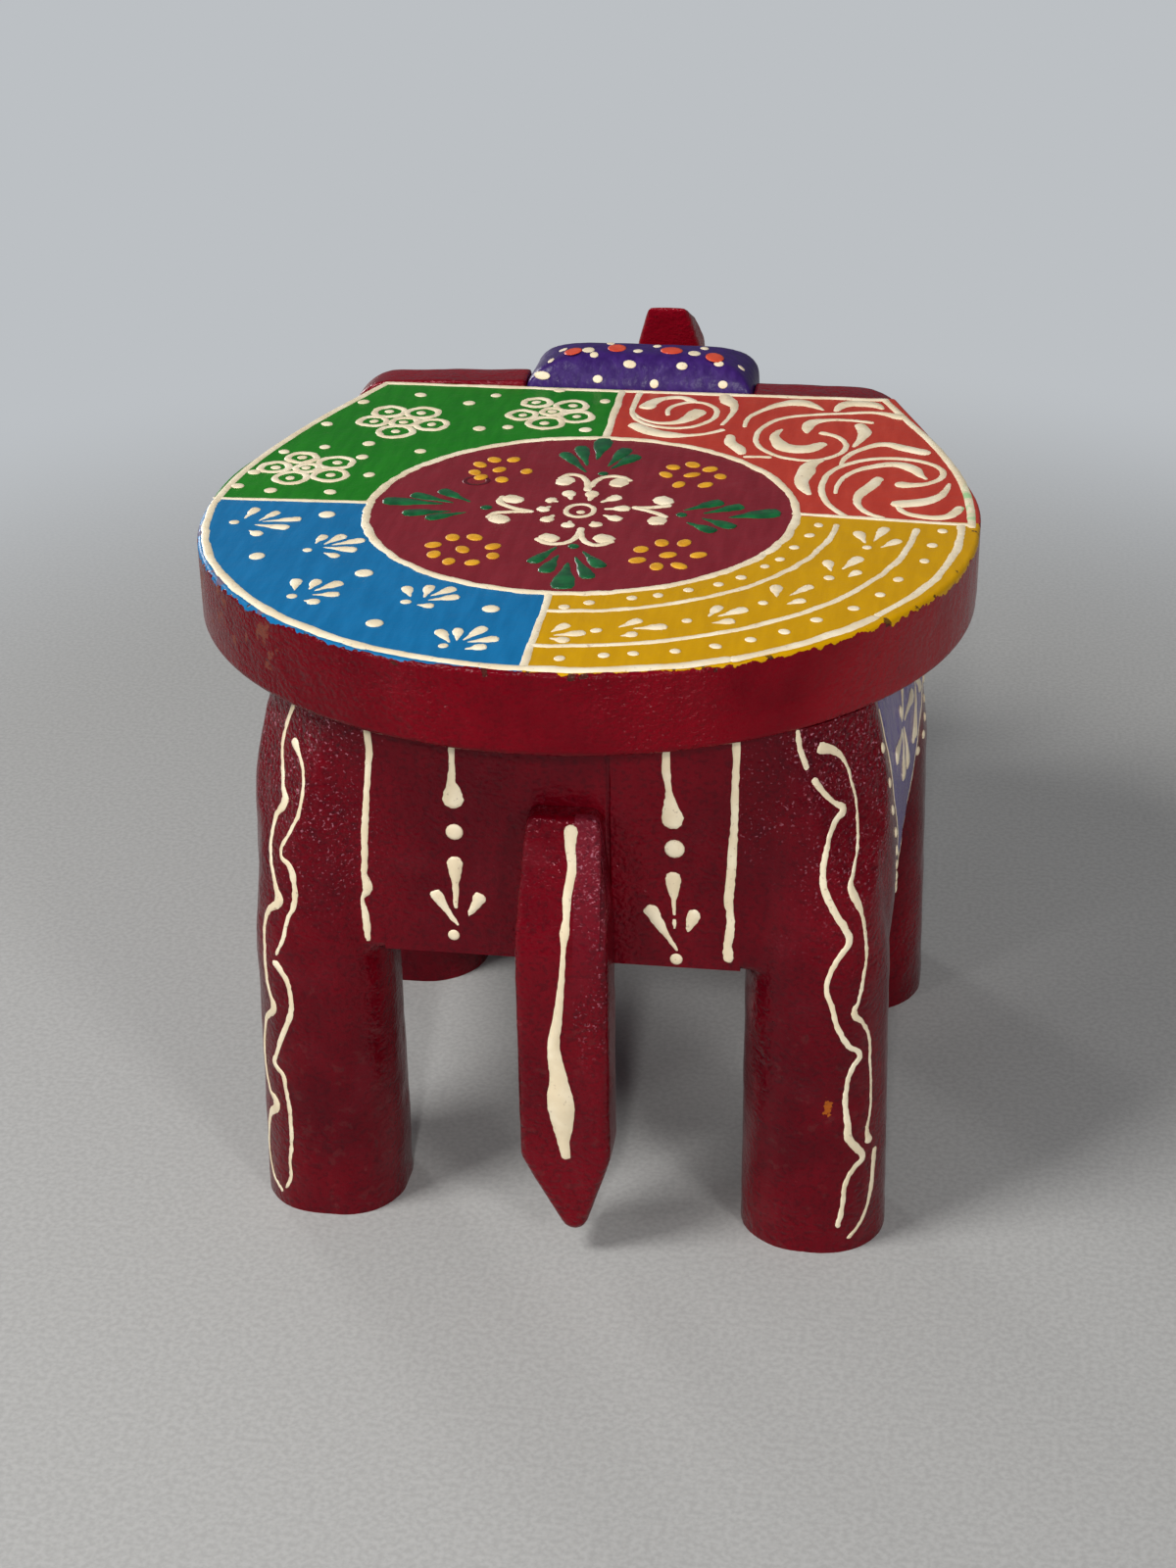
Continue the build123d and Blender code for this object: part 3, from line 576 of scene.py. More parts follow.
# ---- Coral quarter: scrolls ----
# Freehand scrolls with swelling leaves along them, all in cream paste. The leaves are strokes pressed wide
# in the middle and drawn out thin.
SCROLLS = [
    [(1, 96.4, 2.2), (0.7, 87.1, 1.6), (1.4, 77.9), (5, 71.4), (11.4, 67.9), (17.9, 68.6), (22.9, 73.6),
     (25, 80.7, 1.7), (22.9, 87.9), (17.9, 90.7, 1.6), (13.6, 88.6), (11.1, 84.3, 1.5), (11.3, 78.9, 1.4)],
    [(17.1, 91.4, 3), (13.6, 94.3, 2.5), (8.6, 92.9), (5.4, 88.6, 4), (4.6, 85.4, 5)],
    [(19.3, 81.4, 5.5), (17.1, 75.7, 4), (13.6, 72.1, 2.5), (8.6, 71.8, 1.5), (4.3, 75, 1.2), (1.1, 80, 1)],
    [(3.2, 68.6, 4), (7.9, 64.3, 5), (13.6, 61.8, 4.5), (19.3, 62.1, 1.8), (24.3, 64.3, 1.5),
     (27.9, 67.5, 1.8)],
    [(26.1, 96, 4), (27.5, 92.1, 5), (29.3, 87.9, 2.5), (29.3, 81.4, 1.5), (27.5, 72.1, 1.2)],
    [(33.9, 71.1, 1.2), (34.3, 78.6, 1.5), (37.9, 85.7, 1.8), (42.9, 91.4, 3.5), (47.9, 93.2, 5.5),
     (52.1, 90.7, 3), (54.6, 87.9, 1)],
    [(58.6, 87.5, 1.5), (60.7, 92.9, 4), (65, 94.3, 5), (69.3, 93.2, 4), (71.4, 90.7, 1.5)],
    [(76.8, 83.6, 4), (70, 86.8, 2), (61.4, 85.4, 1.6), (51.4, 82.9), (44.3, 79.6), (40, 73.6), (37.9, 65),
     (38.9, 56.4), (42.9, 50), (48.6, 46.1), (55, 45.7), (60, 49.3), (62.9, 55.7), (62.1, 62.1, 1.7),
     (59.3, 66.1, 1.9), (56.1, 67.9, 2.5)],
    [(68.9, 78.2, 1.8), (62.1, 79.6, 1.6), (56.4, 78.9, 2), (52.5, 76.4, 4), (51.4, 71.4, 3.2),
     (51.6, 67.9, 1)],
    [(44.3, 69.6, 1), (42.9, 65, 2.5), (44.3, 59.3, 4), (47.1, 54.8, 6), (52.1, 54.3), (56.4, 58.6, 3)],
    [(66.1, 75, 3.5), (67.5, 70, 4), (66.8, 64.3, 2.5), (65.1, 57.9, 1)],
    [(30.7, 62.5, 2.5), (31.4, 57.1, 3.5), (33.9, 52.9, 4), (35, 49.3, 2.5)],
    [(36.4, 46.4, 1.5), (39.6, 46.8), (42.9, 46.8)],
    [(57.1, 46.4, 2), (54.3, 42.1, 4), (53.6, 36.4, 5), (52.9, 30, 4), (53.6, 25, 3.5), (55.4, 20, 1.5)],
    [(62.5, 42.9, 1), (63.6, 49.3, 1.8), (67.9, 56.4, 2), (73.6, 60.4, 3), (78.6, 57.9, 4), (84.3, 55)],
    [(65.7, 5, 1.8), (61.4, 12.1), (58.9, 20.7), (58.6, 29.3, 1.7), (60.7, 38.6), (65.7, 45, 1.8),
     (71.4, 48.6), (78.6, 49.3, 2), (85, 47.1, 1.8), (89.3, 42.1), (89.6, 36.4), (86.4, 31.4),
     (82.1, 29.3, 3), (79.3, 29.3, 4)],
    [(62.3, 21.4, 1), (62.9, 30, 1.4), (65.7, 37.1, 1.8), (70.7, 42.1, 2.5), (77.1, 44.6, 3.5),
     (81.4, 42.1, 4.5), (84.3, 36.4, 2), (85.4, 34.6, 1)],
    [(72.9, 32.9, 3), (71.4, 27.9, 3.5), (69.3, 22.9), (68.2, 17.1, 2.2), (69.3, 11.4, 1.8), (72.1, 7.1),
     (75.4, 5, 1.2)],
    [(91.6, 31.4, 1), (90.7, 25.7, 2), (88.6, 20.7, 3), (85, 17.1, 4.5), (79.3, 15, 5)],
    [(78.9, 12.9, 1.5), (80.7, 9.3, 2), (85, 6.8, 2.5), (90.7, 6.8, 3), (93.6, 10.7), (94.6, 13.9, 2.5)],
]
settled(piped("cream_scrolls", [seat_stroke(scroll) for scroll in SCROLLS]))

# ---- Medallion: flowers in the middle of the seat ----
# A looped middle with ten cream petals, four cream anchors, four sprays of glossy green drops and four
# flowers of yellow touches. The green and yellow are the same paste, tinted.
MIDDLE_PETALS = [
    (-0.9, 13.8, -0.9, 9.1), (-7.1, 13.4, -5.9, 9.4), (5.6, 11.4, 2.5, 8.2), (8.8, 4, 4.3, 3.2),
    (7.7, -3.4, 4.6, -1.4), (3.1, -7.9, 2.3, -6.4), (-3.8, -9.2, -3.7, -6.6), (-9.8, -5.9, -8.7, -2.9),
    (-11.9, 1.2, -10.6, 3.2), (-10.6, 7.7, -9.2, 7.1),
]
ANCHORS = [
    [(-9.4, 22.9, 5.2), (-9.7, 21.2, 4.4)],
    [(-10.9, 24.6, 1.8), (-8.9, 27.3), (-6.1, 26.8, 1.7), (-4.3, 24.3), (-2.9, 20, 2), (-2.6, 16.6, 2.2)],
    [(5, 22.9, 5.4), (4.7, 21.6, 4.6)],
    [(7.5, 24.8, 1.8), (4.6, 27.2), (1.1, 26.8, 1.7), (-1.1, 23.9), (-2, 19.6, 1.9)],
    [(-21.2, 7.6, 5.4), (-20.3, 7.2, 5)],
    [(-24, 8.6, 1.8), (-23.9, 5, 2), (-22.1, 2.9, 1.8), (-18.6, 0.7, 1.7), (-15, -0.7, 1.9)],
    [(-22.1, -6.9, 5.6), (-21.4, -7.6, 5)],
    [(-25, -5.7, 1.8), (-23.9, -3), (-20.7, -1.8, 1.7), (-17.1, -1.1), (-15.2, -0.8, 1.8)],
    [(18.2, 10.8, 5.6), (18.8, 10, 5)],
    [(19.8, 7.3, 2.2), (16.4, 5.7, 1.8), (13.2, 5.2, 1.7), (11.6, 5, 1.9)],
    [(18.4, -3.6, 5.2), (18.4, -4.4, 4.8)],
    [(20, -0.6, 1.9), (18.2, 1.2, 1.8), (15, 3.2, 1.7), (11.8, 4.7, 1.8)],
    [(-7.5, -18.4, 5.2), (-6.8, -18.8, 5)],
    [(-9.8, -19.6, 1.9), (-7.1, -22, 1.8), (-3.6, -21.9), (-1.1, -18.9, 1.7), (-0.2, -15, 1.8),
     (-0.1, -11.6, 2)],
    [(6.8, -17.7, 5.6), (6.2, -17.2, 5)],
    [(8.6, -19.3, 1.9), (5.4, -22, 1.8), (2.9, -20.7), (1.1, -17.5, 1.7), (0.2, -14, 1.8)],
]
GREEN_DROPS = [
    (-3.6, 54, -3.4, 40.2, 2.7), (-8.8, 47.9, -5.4, 35, 2.1), (-12.3, 42.6, -5, 29.9, 2),
    (3.2, 47.4, 0.4, 35.2, 2.2), (6.2, 42.4, 1.4, 33.2, 2.3), (-52, 2.6, -38.7, 2.2, 2.8),
    (-46.3, 7.3, -36.1, 3.3, 2), (-39.7, 10.9, -31.9, 4.6, 2), (-45.6, -5.3, -35.6, -2.9, 2.3),
    (-39.3, -7.9, -31.6, -3.2, 2), (46.4, 4.6, 36.4, 0.7, 3.2), (37.8, 8.1, 29.8, 2.9, 2),
    (32.1, 10.4, 24.6, 4.6, 2.2), (36.9, -5.3, 29.6, -0.5, 2.1), (32.4, -8.7, 26.1, -3.9, 2),
    (0.9, -48.3, 0, -34.3, 3), (-4.6, -39.4, -3.1, -29.6, 2.1), (-8.4, -33.9, -4.4, -24.3, 1.9),
    (6.1, -42.1, 1.4, -30.6, 2), (7.9, -34.9, 2.7, -26.6, 2),
]
GREEN_STEM_DOTS = [(-0.2, 29.1), (-26.8, 0.8), (24.1, 1.2), (-0.2, -23.4)]
YELLOW_TOUCHES = [
    (-31.1, 36.6), (-25.9, 37.3), (-34.3, 32.4), (-28.4, 29.1), (-20.9, 28.6), (-34.6, 26.3), (-32.3, 22.9),
    (-26.4, 21.6), (17.9, 36.1), (22.9, 38.6), (27.9, 35.6), (23.6, 30.8), (31.2, 30.4), (27.9, 23.6),
    (20.9, 23.1), (16.6, 30.2), (-31.4, -20.9), (-25.9, -20.2), (-20.2, -25.8), (-27.4, -28.6),
    (-19.1, -31.9), (-23.4, -36.8), (-29.3, -36.7), (-33.9, -32.5), (-35.3, -26.4), (21.4, -18.6), (27, -18),
    (31.4, -25.6), (23.9, -26.4), (27.4, -33.1), (22, -34.2), (16.8, -30.7), (16.8, -23.5),
]
MIDDLE_LOOP = (-2.3, 1.3)


def tinted_paste(name, dark, light, dull=0.24):
    def recipe(place):
        patches = place.noise(260, 3)
        colour = patches.rise(0.35, 0.7).blend(dark, light)
        return {"Base Color": colour, "Roughness": dull + patches * 0.2, "Height": place.noise(600, 2) * 0.1}

    return finish_of(name, recipe)


green_paste = tinted_paste("green_paste", srgb(3, 72, 36), srgb(8, 98, 48))
yellow_paste = tinted_paste("yellow_paste", srgb(200, 138, 14), srgb(226, 166, 26), dull=0.42)
middle_loop = []
for degrees in range(0, 360, 45):
    turn = math.radians(degrees)
    middle_loop.append((MIDDLE_LOOP[0] + 3.6 * math.cos(turn), MIDDLE_LOOP[1] + 4.5 * math.sin(turn), 1.4))
settled(piped("cream_middle_loop", [seat_stroke(middle_loop)], closed=True))
anchors = [seat_stroke(stroke) for stroke in ANCHORS]
middle_petals = [drop(*ends, 1.85, 1) for ends in MIDDLE_PETALS]
settled(piped("cream_anchors_and_petals", anchors + middle_petals))
scattered("cream_middle_dot", seat_dots([(-1.9, 0.2)], 1.2), slot="seat_paint")
green_drops = [drop(*ends_and_radius, 0.5) for ends_and_radius in GREEN_DROPS]
settled(piped("green_drops", green_drops), green_paste, rise=0.32)
scattered("green_stem_dots", seat_dots(GREEN_STEM_DOTS, 1.5), green_paste, "seat_paint")
touches = []
for x, y in YELLOW_TOUCHES:
    turn = hand.uniform(-1, 1)
    touches.append((on_seat(x, y), UP, hand.uniform(3.2, 4.0), hand.uniform(4.2, 5.2), 0.7, turn))
scattered("yellow_flower_touches", touches, yellow_paste, "seat_paint")

# ---- Leg planks ----
# One thick plank each side, sawn to the outline of two legs and a belly arch, then rounded with a rasp.
# Crimson lacquer is brushed on in streaks over a lumpy primer, with a purple saddle cloth on the flank.
BODY_MIDDLE_X = 4.0
SADDLE_MIDDLE = (2.0, 150.0)
SADDLE_HALF_LENGTH = 58.0
SADDLE_DROP = 70.0
LEFT_CLOTH_AHEAD = 7.0
FLANK_X = 58
GLUE_SEAM_X = 16
SPILT_SPOT = (70.5, 44)
TAIL_MIDDLE_X = 13
CLOTH_POWER = 3.0


def lacquer_recipe(place):
    colour, roughness, height = crimson(place)
    x, y, z = place.coordinates()
    off_middle = (x - BODY_MIDDLE_X).size()
    grimy = place.noise(300, 4).rise(0.6, 0.66) * (z < 70) * (y < -40)
    colour = (grimy * 0.12).blend(colour, srgb(88, 62, 56))
    off_spot = (x - SPILT_SPOT[0]).length((z - SPILT_SPOT[1]) * 0.4) + (place.noise(900, 3) - 0.5) * 3
    colour = ((off_spot < 0.9) * (y < -60) * 0.7).blend(colour, srgb(176, 96, 20))
    # Near the tops of the hind legs and on the tail's right side the lacquer was laid on heavily and dried
    # pebbly. There it gets painted glints and painted shade in its pits.
    leg_tops = z.rise(78, 130) * off_middle.rise(38, 52) * (y < -40) * place.noise(45, 2).rise(0.3, 0.55)
    tail_side = ((x - TAIL_MIDDLE_X).size() < 4) * (y < -84) * z.rise(50, 90)
    heavy_lacquer_and_painted_glints = leg_tops.maths("MAXIMUM", tail_side * place.noise(60, 2).rise(0.35, 0.6))
    # The upper part of the tail's right side is painted paler and pinker, as a painted highlight.
    colour = (tail_side * z.rise(70, 135) * 0.24).blend(colour, srgb(150, 62, 80))
    height = height + heavy_lacquer_and_painted_glints * place.noise(900, 1) * 0.6
    # Pale specks in the heavy lacquer are painted glints.
    painted_glints = place.noise(1250, 1).rise(0.62, 0.74) * heavy_lacquer_and_painted_glints
    colour = (painted_glints * 0.6).blend(colour, srgb(196, 128, 144))
    # Dark specks in the heavy lacquer are painted shade in its pits.
    colour = (heavy_lacquer_and_painted_glints * place.noise(700, 2).rise(0.5, 0.3) * 0.5).blend(colour, srgb(52, 6, 18))
    # Towards the front the crimson is painted brighter, a painted highlight that shows most on the trunk and
    # ears.
    colour = (y.rise(88, 118) * 0.7).blend(colour, srgb(140, 10, 26))
    off_seam = ((x - GLUE_SEAM_X) + (place.noise(60, 2) - 0.5)).size()
    seam = off_seam.rise(0.7, 0.2) * (y < -78) * (z > 90)
    colour = (seam * 0.45).blend(colour, srgb(48, 6, 12))
    height = height - seam * 0.3
    # The cloth's outline is a superellipse on each flank.
    ahead = y - (x < 0) * LEFT_CLOTH_AHEAD - SADDLE_MIDDLE[0]
    along = (ahead / SADDLE_HALF_LENGTH).size().maths("POWER", CLOTH_POWER)
    down = ((z - SADDLE_MIDDLE[1]) / SADDLE_DROP).size().maths("POWER", CLOTH_POWER)
    cloth = ((along + down) < 1) * (off_middle > FLANK_X)
    streaks = place.noise(500, 3, stretch=(1, 1, 0.2)).rise(0.3, 0.7)
    purple = streaks.blend(srgb(58, 32, 118), srgb(74, 44, 136))
    return {"Base Color": cloth.blend(colour, purple), "Roughness": roughness, "Height": height}


RED_GLOSS = (1.0, 0.42, 0.48, 1)
crimson_lacquer = finish_of("crimson_lacquer", lacquer_recipe, IOR=1.42, Specular_Tint=RED_GLOSS)
JOINT_ALLOWANCE = 5 * MM
END_ALLOWANCE = 6 * MM
ON_FACE = 0.02 * MM


def carve(piece, voxel, rasping, ripple, proud=0.0):
    """Rounds a sawn piece as a rasp does and leaves it a little uneven. All in millimetres."""
    piece.data.remesh_voxel_size = voxel * MM
    select_only(piece)
    bpy.ops.object.voxel_remesh()
    rasp = piece.modifiers.new("rasp", "SMOOTH")
    rasp.factor = 0.5
    rasp.iterations = rasping
    bpy.ops.object.modifier_apply(modifier=rasp.name)
    rippled(piece, 0.014, ripple, 0.5 - proud / ripple)
    bpy.ops.object.shade_smooth()


def planed(piece, place, outward):
    """Cuts a piece flat at a joint face, on the side that outward points to."""
    edit_all(piece)
    bpy.ops.mesh.bisect(plane_co=place, plane_no=outward, use_fill=True, clear_outer=True)
    bpy.ops.object.mode_set(mode="OBJECT")


def leg_plank(node, name, joint_x, inward):
    """A leg plank left long at its joint, top and feet, carved with the rest and then planed flush."""
    piece = copied_from(node, name)
    low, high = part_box(node)
    for vertex in piece.data.vertices:
        if abs(vertex.co.x - joint_x) < ON_FACE:
            vertex.co.x += inward * JOINT_ALLOWANCE
        if vertex.co.z < low.z + ON_FACE:
            vertex.co.z -= END_ALLOWANCE
        if vertex.co.z > high.z - ON_FACE:
            vertex.co.z += END_ALLOWANCE
    carve(piece, 1.4, 6, 0.7)
    planed(piece, (joint_x, 0, 0), (inward, 0, 0))
    planed(piece, (0, 0, high.z), (0, 0, 1))
    planed(piece, (0, 0, low.z), (0, 0, -1))
    smooth_under(piece, 50)
    done(piece, crimson_lacquer, "crimson_lacquer", node)
    return piece


right_plank = leg_plank("right_leg_plank", "carved_right_legs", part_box("right_leg_plank")[0].x, -1)
left_plank = leg_plank("left_leg_plank", "carved_left_legs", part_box("left_leg_plank")[1].x, 1)

# ---- Core blocks and dowels ----
# Two blocks glued between the leg planks make the barrel of the body, with dowels through the joints. The
# blocks are lacquered with the legs. The dowels are bare beech that only shows when the stool is apart.


def bare_recipe(place):
    grain = {"Vector": place, "Scale": 160.0, "Distortion": 3.0, "Detail": 2.0}
    rings = place.node("TexWave", {"wave_type": "RINGS"}, grain, out=1)
    colour = rings.blend(srgb(176, 138, 96), srgb(200, 166, 122))
    return {"Base Color": colour, "Roughness": 0.6 + rings * 0.1, "Height": rings * 0.05}


bare_wood = finish_of("bare_wood", bare_recipe)
for node in ("wide_core_block", "narrow_core_block"):
    painted(node, crimson_lacquer)
for node in ("plank_dowels", "head_dowels", "trunk_dowel"):
    painted(node, bare_wood)

# ---- Tail ----
# A flat bar with a pointed end, nailed on edge to the rump. It is thickly lacquered over the nail heads,
# with one long cream line that swells to a tassel near the point.
tail = copied_from("tail", "carved_tail")
select_only(tail, copied_from("tail_nails", "painted_nails"))
bpy.ops.object.join()
carve(tail, 0.8, 14, 0.5, proud=0.4)
done(tail, crimson_lacquer, "crimson_lacquer", "tail", "tail_nails")
# The lines on the tail and the legs are set out on upright cards behind the stool, looked at from one place.
CARD_SEEN_FROM = Vector((0.0931, SEAT_CENTRE_Y - 0.6092, SEAT_TOP + 0.2371))
TAIL_CARD_Y = SEAT_CENTRE_Y - 0.095
TAIL_LINE = [
    (9.4, -42, 3.4), (9.2, -45.5, 2.6), (9.5, -51.2, 2.2), (8.2, -60, 2.3), (7.9, -65.6, 1.6),
    (7.4, -69.7, 2.5), (7.1, -73.5, 1.1), (6.7, -80, 1.4), (6, -87.2, 1.8), (5.1, -94.8, 2.4),
    (4.2, -100.5, 3), (4.3, -104.7, 3.6), (5.2, -110.6, 4.4), (5.4, -115.8, 6.6), (5.7, -119.8, 7),
    (6, -125, 5.2), (6.1, -129.4, 3.2), (6.6, -133.5, 2.4),
]


def skin_of(piece):
    """The surface of a piece, to lay paste on."""
    corners = [vertex.co.copy() for vertex in piece.data.vertices]
    return BVHTree.FromPolygons(corners, [list(face.vertices) for face in piece.data.polygons])


def laid(skin, points, card_y):
    """Knots where points of the card, (x, height over the seat, width), fall on the skin."""
    knots = []
    for x, z, width in full(points):
        card = Vector((x * MM, card_y, SEAT_TOP + z * MM))
        place = skin.ray_cast(CARD_SEEN_FROM, (card - CARD_SEEN_FROM).normalized())[0]
        if place:
            knots.append((place, width))
    return knots


def pressed(piece, skin, material=cream_paste, slot="crimson_lacquer", rise=PASTE_RISE):
    """Flattens strokes onto a rounded surface."""
    for vertex in piece.data.vertices:
        place = skin.find_nearest(vertex.co)[0]
        vertex.co = place + (vertex.co - place) * rise
    smooth_under(piece, 70)
    done(piece, material, slot)


tail_skin = skin_of(tail)
pressed(piped("cream_tail_line", [laid(tail_skin, TAIL_LINE, TAIL_CARD_Y)]), tail_skin, rise=0.28)

# ---- Rump ornaments ----
# Two cream lines down the joints of the rump, and between them and the tail two pendants: a drop on a
# thread, a dot, a drop and a pair of leaves over a last dot. Points are (x, height over the seat, width).
RUMP_LINES = [
    [(-41.9, -24, 1.5), (-41.3, -31.4, 1.7), (-41.8, -36.4, 1.5), (-42.6, -43.6), (-43.2, -50, 1.7),
     (-43.7, -55.7), (-43.9, -60.7, 1.6), (-44.3, -65), (-43.7, -69.3, 2.6), (-45, -72.1, 1),
     (-44.6, -77.1, 1.9), (-44.5, -83.2, 2.2)],
    [(46.3, -22.6, 1.9), (46.3, -30.7, 1.6), (46.1, -37.9, 1.8), (46.1, -45.7, 1.7), (45.7, -53.6, 2.2),
     (45.4, -60.7), (45, -66.4), (45.4, -70.7, 1.7), (45.4, -75, 2.2), (44.9, -79.3, 2.1),
     (45.1, -82.5, 2.6)],
    [(-21.2, -27, 1.4), (-21.4, -35), (-21.6, -38.8, 2.2), (-21.4, -41.2, 4.2), (-21.4, -43.2, 5.2)],
    [(-21.6, -60.7, 3.8), (-21.6, -62.6, 3.4), (-21.7, -66.5, 1.6), (-21.8, -72.9, 0.9)],
    [(-26.4, -70, 3.2), (-25.4, -71.8, 2.6), (-23.6, -74.8, 1.5), (-21.6, -77.9, 0.7)],
    [(-15.9, -70.1, 3.2), (-16.6, -71.5, 2.6), (-18.6, -75, 0.6)],
    [(30.1, -25.5, 1.7), (29.9, -32.9, 2), (30.6, -37.9, 1.4), (30.9, -41.4, 3.2), (31.4, -45.2, 5.4)],
    [(31.6, -61.4, 3.8), (31.6, -63.4, 3.2), (31.8, -67.4, 1.2), (31.9, -71.2, 0.5)],
    [(31.9, -72.9, 0.8), (31.9, -75, 0.7)],
    [(26.3, -70.6, 3.6), (27.6, -73, 2.9), (30.2, -77.4, 1.4), (32.5, -81.2, 0.6)],
    [(36.6, -71.1, 3.2), (36.1, -72.8, 2.8), (35.2, -75.7, 0.5)],
]
RUMP_DOTS = [(-21.4, -52.1, 2.2), (-22.6, -80.9, 1.5), (31.9, -53.2, 2.5), (32.4, -83.7, 1.6)]
RUMP_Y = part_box("wide_core_block")[0].y
BACKWARDS = Vector((0, -1, 0))


def on_rump(x, z):
    """A place on the flat rump, z millimetres over the seat."""
    return Vector((x * MM, RUMP_Y, SEAT_TOP + z * MM))


rump_strokes = [[(on_rump(x, z), width) for x, z, width in full(points)] for points in RUMP_LINES]
rump_lines = piped("cream_rump_lines", rump_strokes, uneven=0.6)
settled(rump_lines, slot="crimson_lacquer", axis=1, level=RUMP_Y, rise=0.26)
rump_dots = []
for x, z, radius in RUMP_DOTS:
    rump_dots.append((on_rump(x, z), BACKWARDS, 2 * radius, 2 * radius, radius * 0.5, 0))
scattered("cream_rump_dots", rump_dots)

# ---- Leg ornaments ----
# Two wavy cream lines cross each other down the outer back corner of each hind leg, with a blob at every
# bend. They follow the round of the wood.
LEG_CARD_Y = SEAT_CENTRE_Y - 0.082
LEG_LINES = {
    "left": [
        [(-58.5, -19.8, 1.4), (-60.5, -25, 1.3), (-61.8, -30, 1.4), (-62.1, -35, 1.3), (-62.4, -41.5, 1.5),
         (-62.2, -45, 2.8), (-64.5, -49, 1.6), (-66, -54, 1.3), (-66.8, -59), (-66.7, -65),
         (-66.2, -69.5, 1.6), (-65.7, -73, 2.8), (-68.5, -76, 1.6), (-69.8, -80, 1.4), (-70.3, -86, 1.3),
         (-70.5, -94, 1.5), (-70, -100, 1.3), (-69.2, -104, 2.4), (-71.5, -108, 1.4), (-72.8, -113, 1.3),
         (-73.3, -119), (-73.2, -124, 1.4), (-72, -129), (-70.5, -133, 3), (-72.5, -137, 1.6),
         (-73.5, -142, 1.3), (-74, -149, 1.2), (-73, -155), (-71, -160.5)],
        [(-58.7, -29.5, 2.8), (-57.8, -33, 1.2), (-57.3, -37), (-57.8, -43), (-59.5, -49.5, 1.1),
         (-61.8, -54), (-64.3, -60, 1.2), (-62.5, -63, 1.6), (-61.6, -68, 1.4), (-62, -74), (-64, -78.5, 1),
         (-65.5, -84, 1.2), (-67.5, -88.5, 0.7)],
        [(-67.8, -91.5, 2.4), (-65.5, -96, 1.4), (-64.7, -101, 1.3), (-65, -106, 1.6), (-67, -111),
         (-69.8, -119, 1.2), (-70.2, -121, 2), (-68.5, -124, 1.6), (-67.8, -129, 1.3), (-67.3, -135),
         (-67.3, -142), (-67.6, -147, 1.1), (-68.2, -151, 1), (-68.5, -157), (-69.8, -159.7, 0.9)],
    ],
    "right": [
        [(60.5, -19.8, 1.2), (61.2, -24, 1.4), (62.8, -28.5, 1.6)],
        [(64.8, -32.2, 2), (67, -35, 1.4), (69.5, -37.5, 1.2), (71.5, -39, 2.4), (70, -42, 1.6),
         (68.5, -47, 1.4), (67.5, -54), (67.5, -59, 1.6), (69.5, -65, 1.8), (73, -71), (74.2, -74, 1.9),
         (72, -79, 1.4), (70.2, -83, 1.3), (69.2, -88), (70.8, -94), (72.5, -100, 1.4), (75, -104, 1.5),
         (77.8, -106.5, 1.6), (76.2, -110, 1.5), (75, -115, 1.3), (74.7, -121, 1.5), (75.5, -127, 1.7),
         (75.8, -131, 2.2), (78, -134), (79.5, -136.5, 2), (77.5, -140, 1.6), (75.5, -145, 1.4),
         (75, -152, 1.3), (74, -158, 1.6)],
        [(66.2, -23.5, 2.9), (69, -24, 1.9), (71.5, -26.5, 1), (73.2, -31.5, 0.9), (74.5, -37, 0.8),
         (75, -43), (75.2, -49), (74.5, -55), (74, -59.5, 1.9), (75.2, -62.5, 2.5), (77, -67, 1.1),
         (78, -73, 0.9), (78.4, -78), (77.8, -85), (77, -91), (76, -94.5, 1.7), (78.5, -97.5, 1.1),
         (80, -102, 0.8), (80.3, -108), (80.8, -115), (80.8, -123), (80.3, -128, 1.1), (80.8, -131, 2.5)],
        [(82.4, -134, 1.8), (82.2, -139), (82, -145, 1.6), (81, -152, 1.2), (79, -158, 1.1),
         (76.8, -161.5, 1)],
    ],
}
for side, plank in (("left", left_plank), ("right", right_plank)):
    skin = skin_of(plank)
    strokes = [laid(skin, line, LEG_CARD_Y) for line in LEG_LINES[side]]
    pressed(piped(f"cream_{side}_leg_lines", strokes, uneven=0.7), skin, rise=0.25)

# ---- Toenails ----
# Three cream touches at the front of each fore foot, dabbed on with the end of the brush. The hind feet
# have none.
BEFORE_HEAD_Y = SEAT_CENTRE_Y + 0.3
TOENAIL_HEIGHT = 7


def on_front(skin, x, z):
    """The place seen on a skin from before the head, z millimetres over the floor, and its facing."""
    return skin.ray_cast(Vector((x * MM, BEFORE_HEAD_Y, z * MM)), BACKWARDS)[:2]


toenails = []
for node, plank in (("left_leg_plank", left_plank), ("right_leg_plank", right_plank)):
    low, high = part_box(node)
    foot_x = (low.x + high.x) / 2 / MM
    skin = skin_of(plank)
    for offset in (-11, 0, 11):
        place, outward = on_front(skin, foot_x + offset, TOENAIL_HEIGHT)
        if place:
            toenails.append((place, outward, 6.5, 7.5, 1.0, 0))
scattered("cream_toenails", toenails)

# ---- Saddle cloths ----
# The painted cloth on each flank is edged with a cream line and a row of dots, with a flower of drops on it.
# Each drop is its tail's place, (y, z), and then its head's place and width.
SADDLE_FLOWER = [
    ((-15, 115), (-36, 117.5, 4.6)), ((-15, 114), (-22, 106.5, 5.2)), ((-12, 114), (-6, 102, 5.4)),
    ((-14, 117), (-17, 121, 3.6)), ((-12, 117), (-9, 124, 3.6)), ((-9, 115), (12, 112, 4.6)),
    ((24, 110), (24, 96, 4.4)), ((24, 112), (36, 104, 4.2)), ((24, 112), (12, 100, 4.2)),
]
CLOTH_BEND = 0.667
EDGING_STEPS = 60
DOTS_OUTSIDE_CLOTH = 6.0
EDGING_TOP = 144
DOTS_TOP = 142


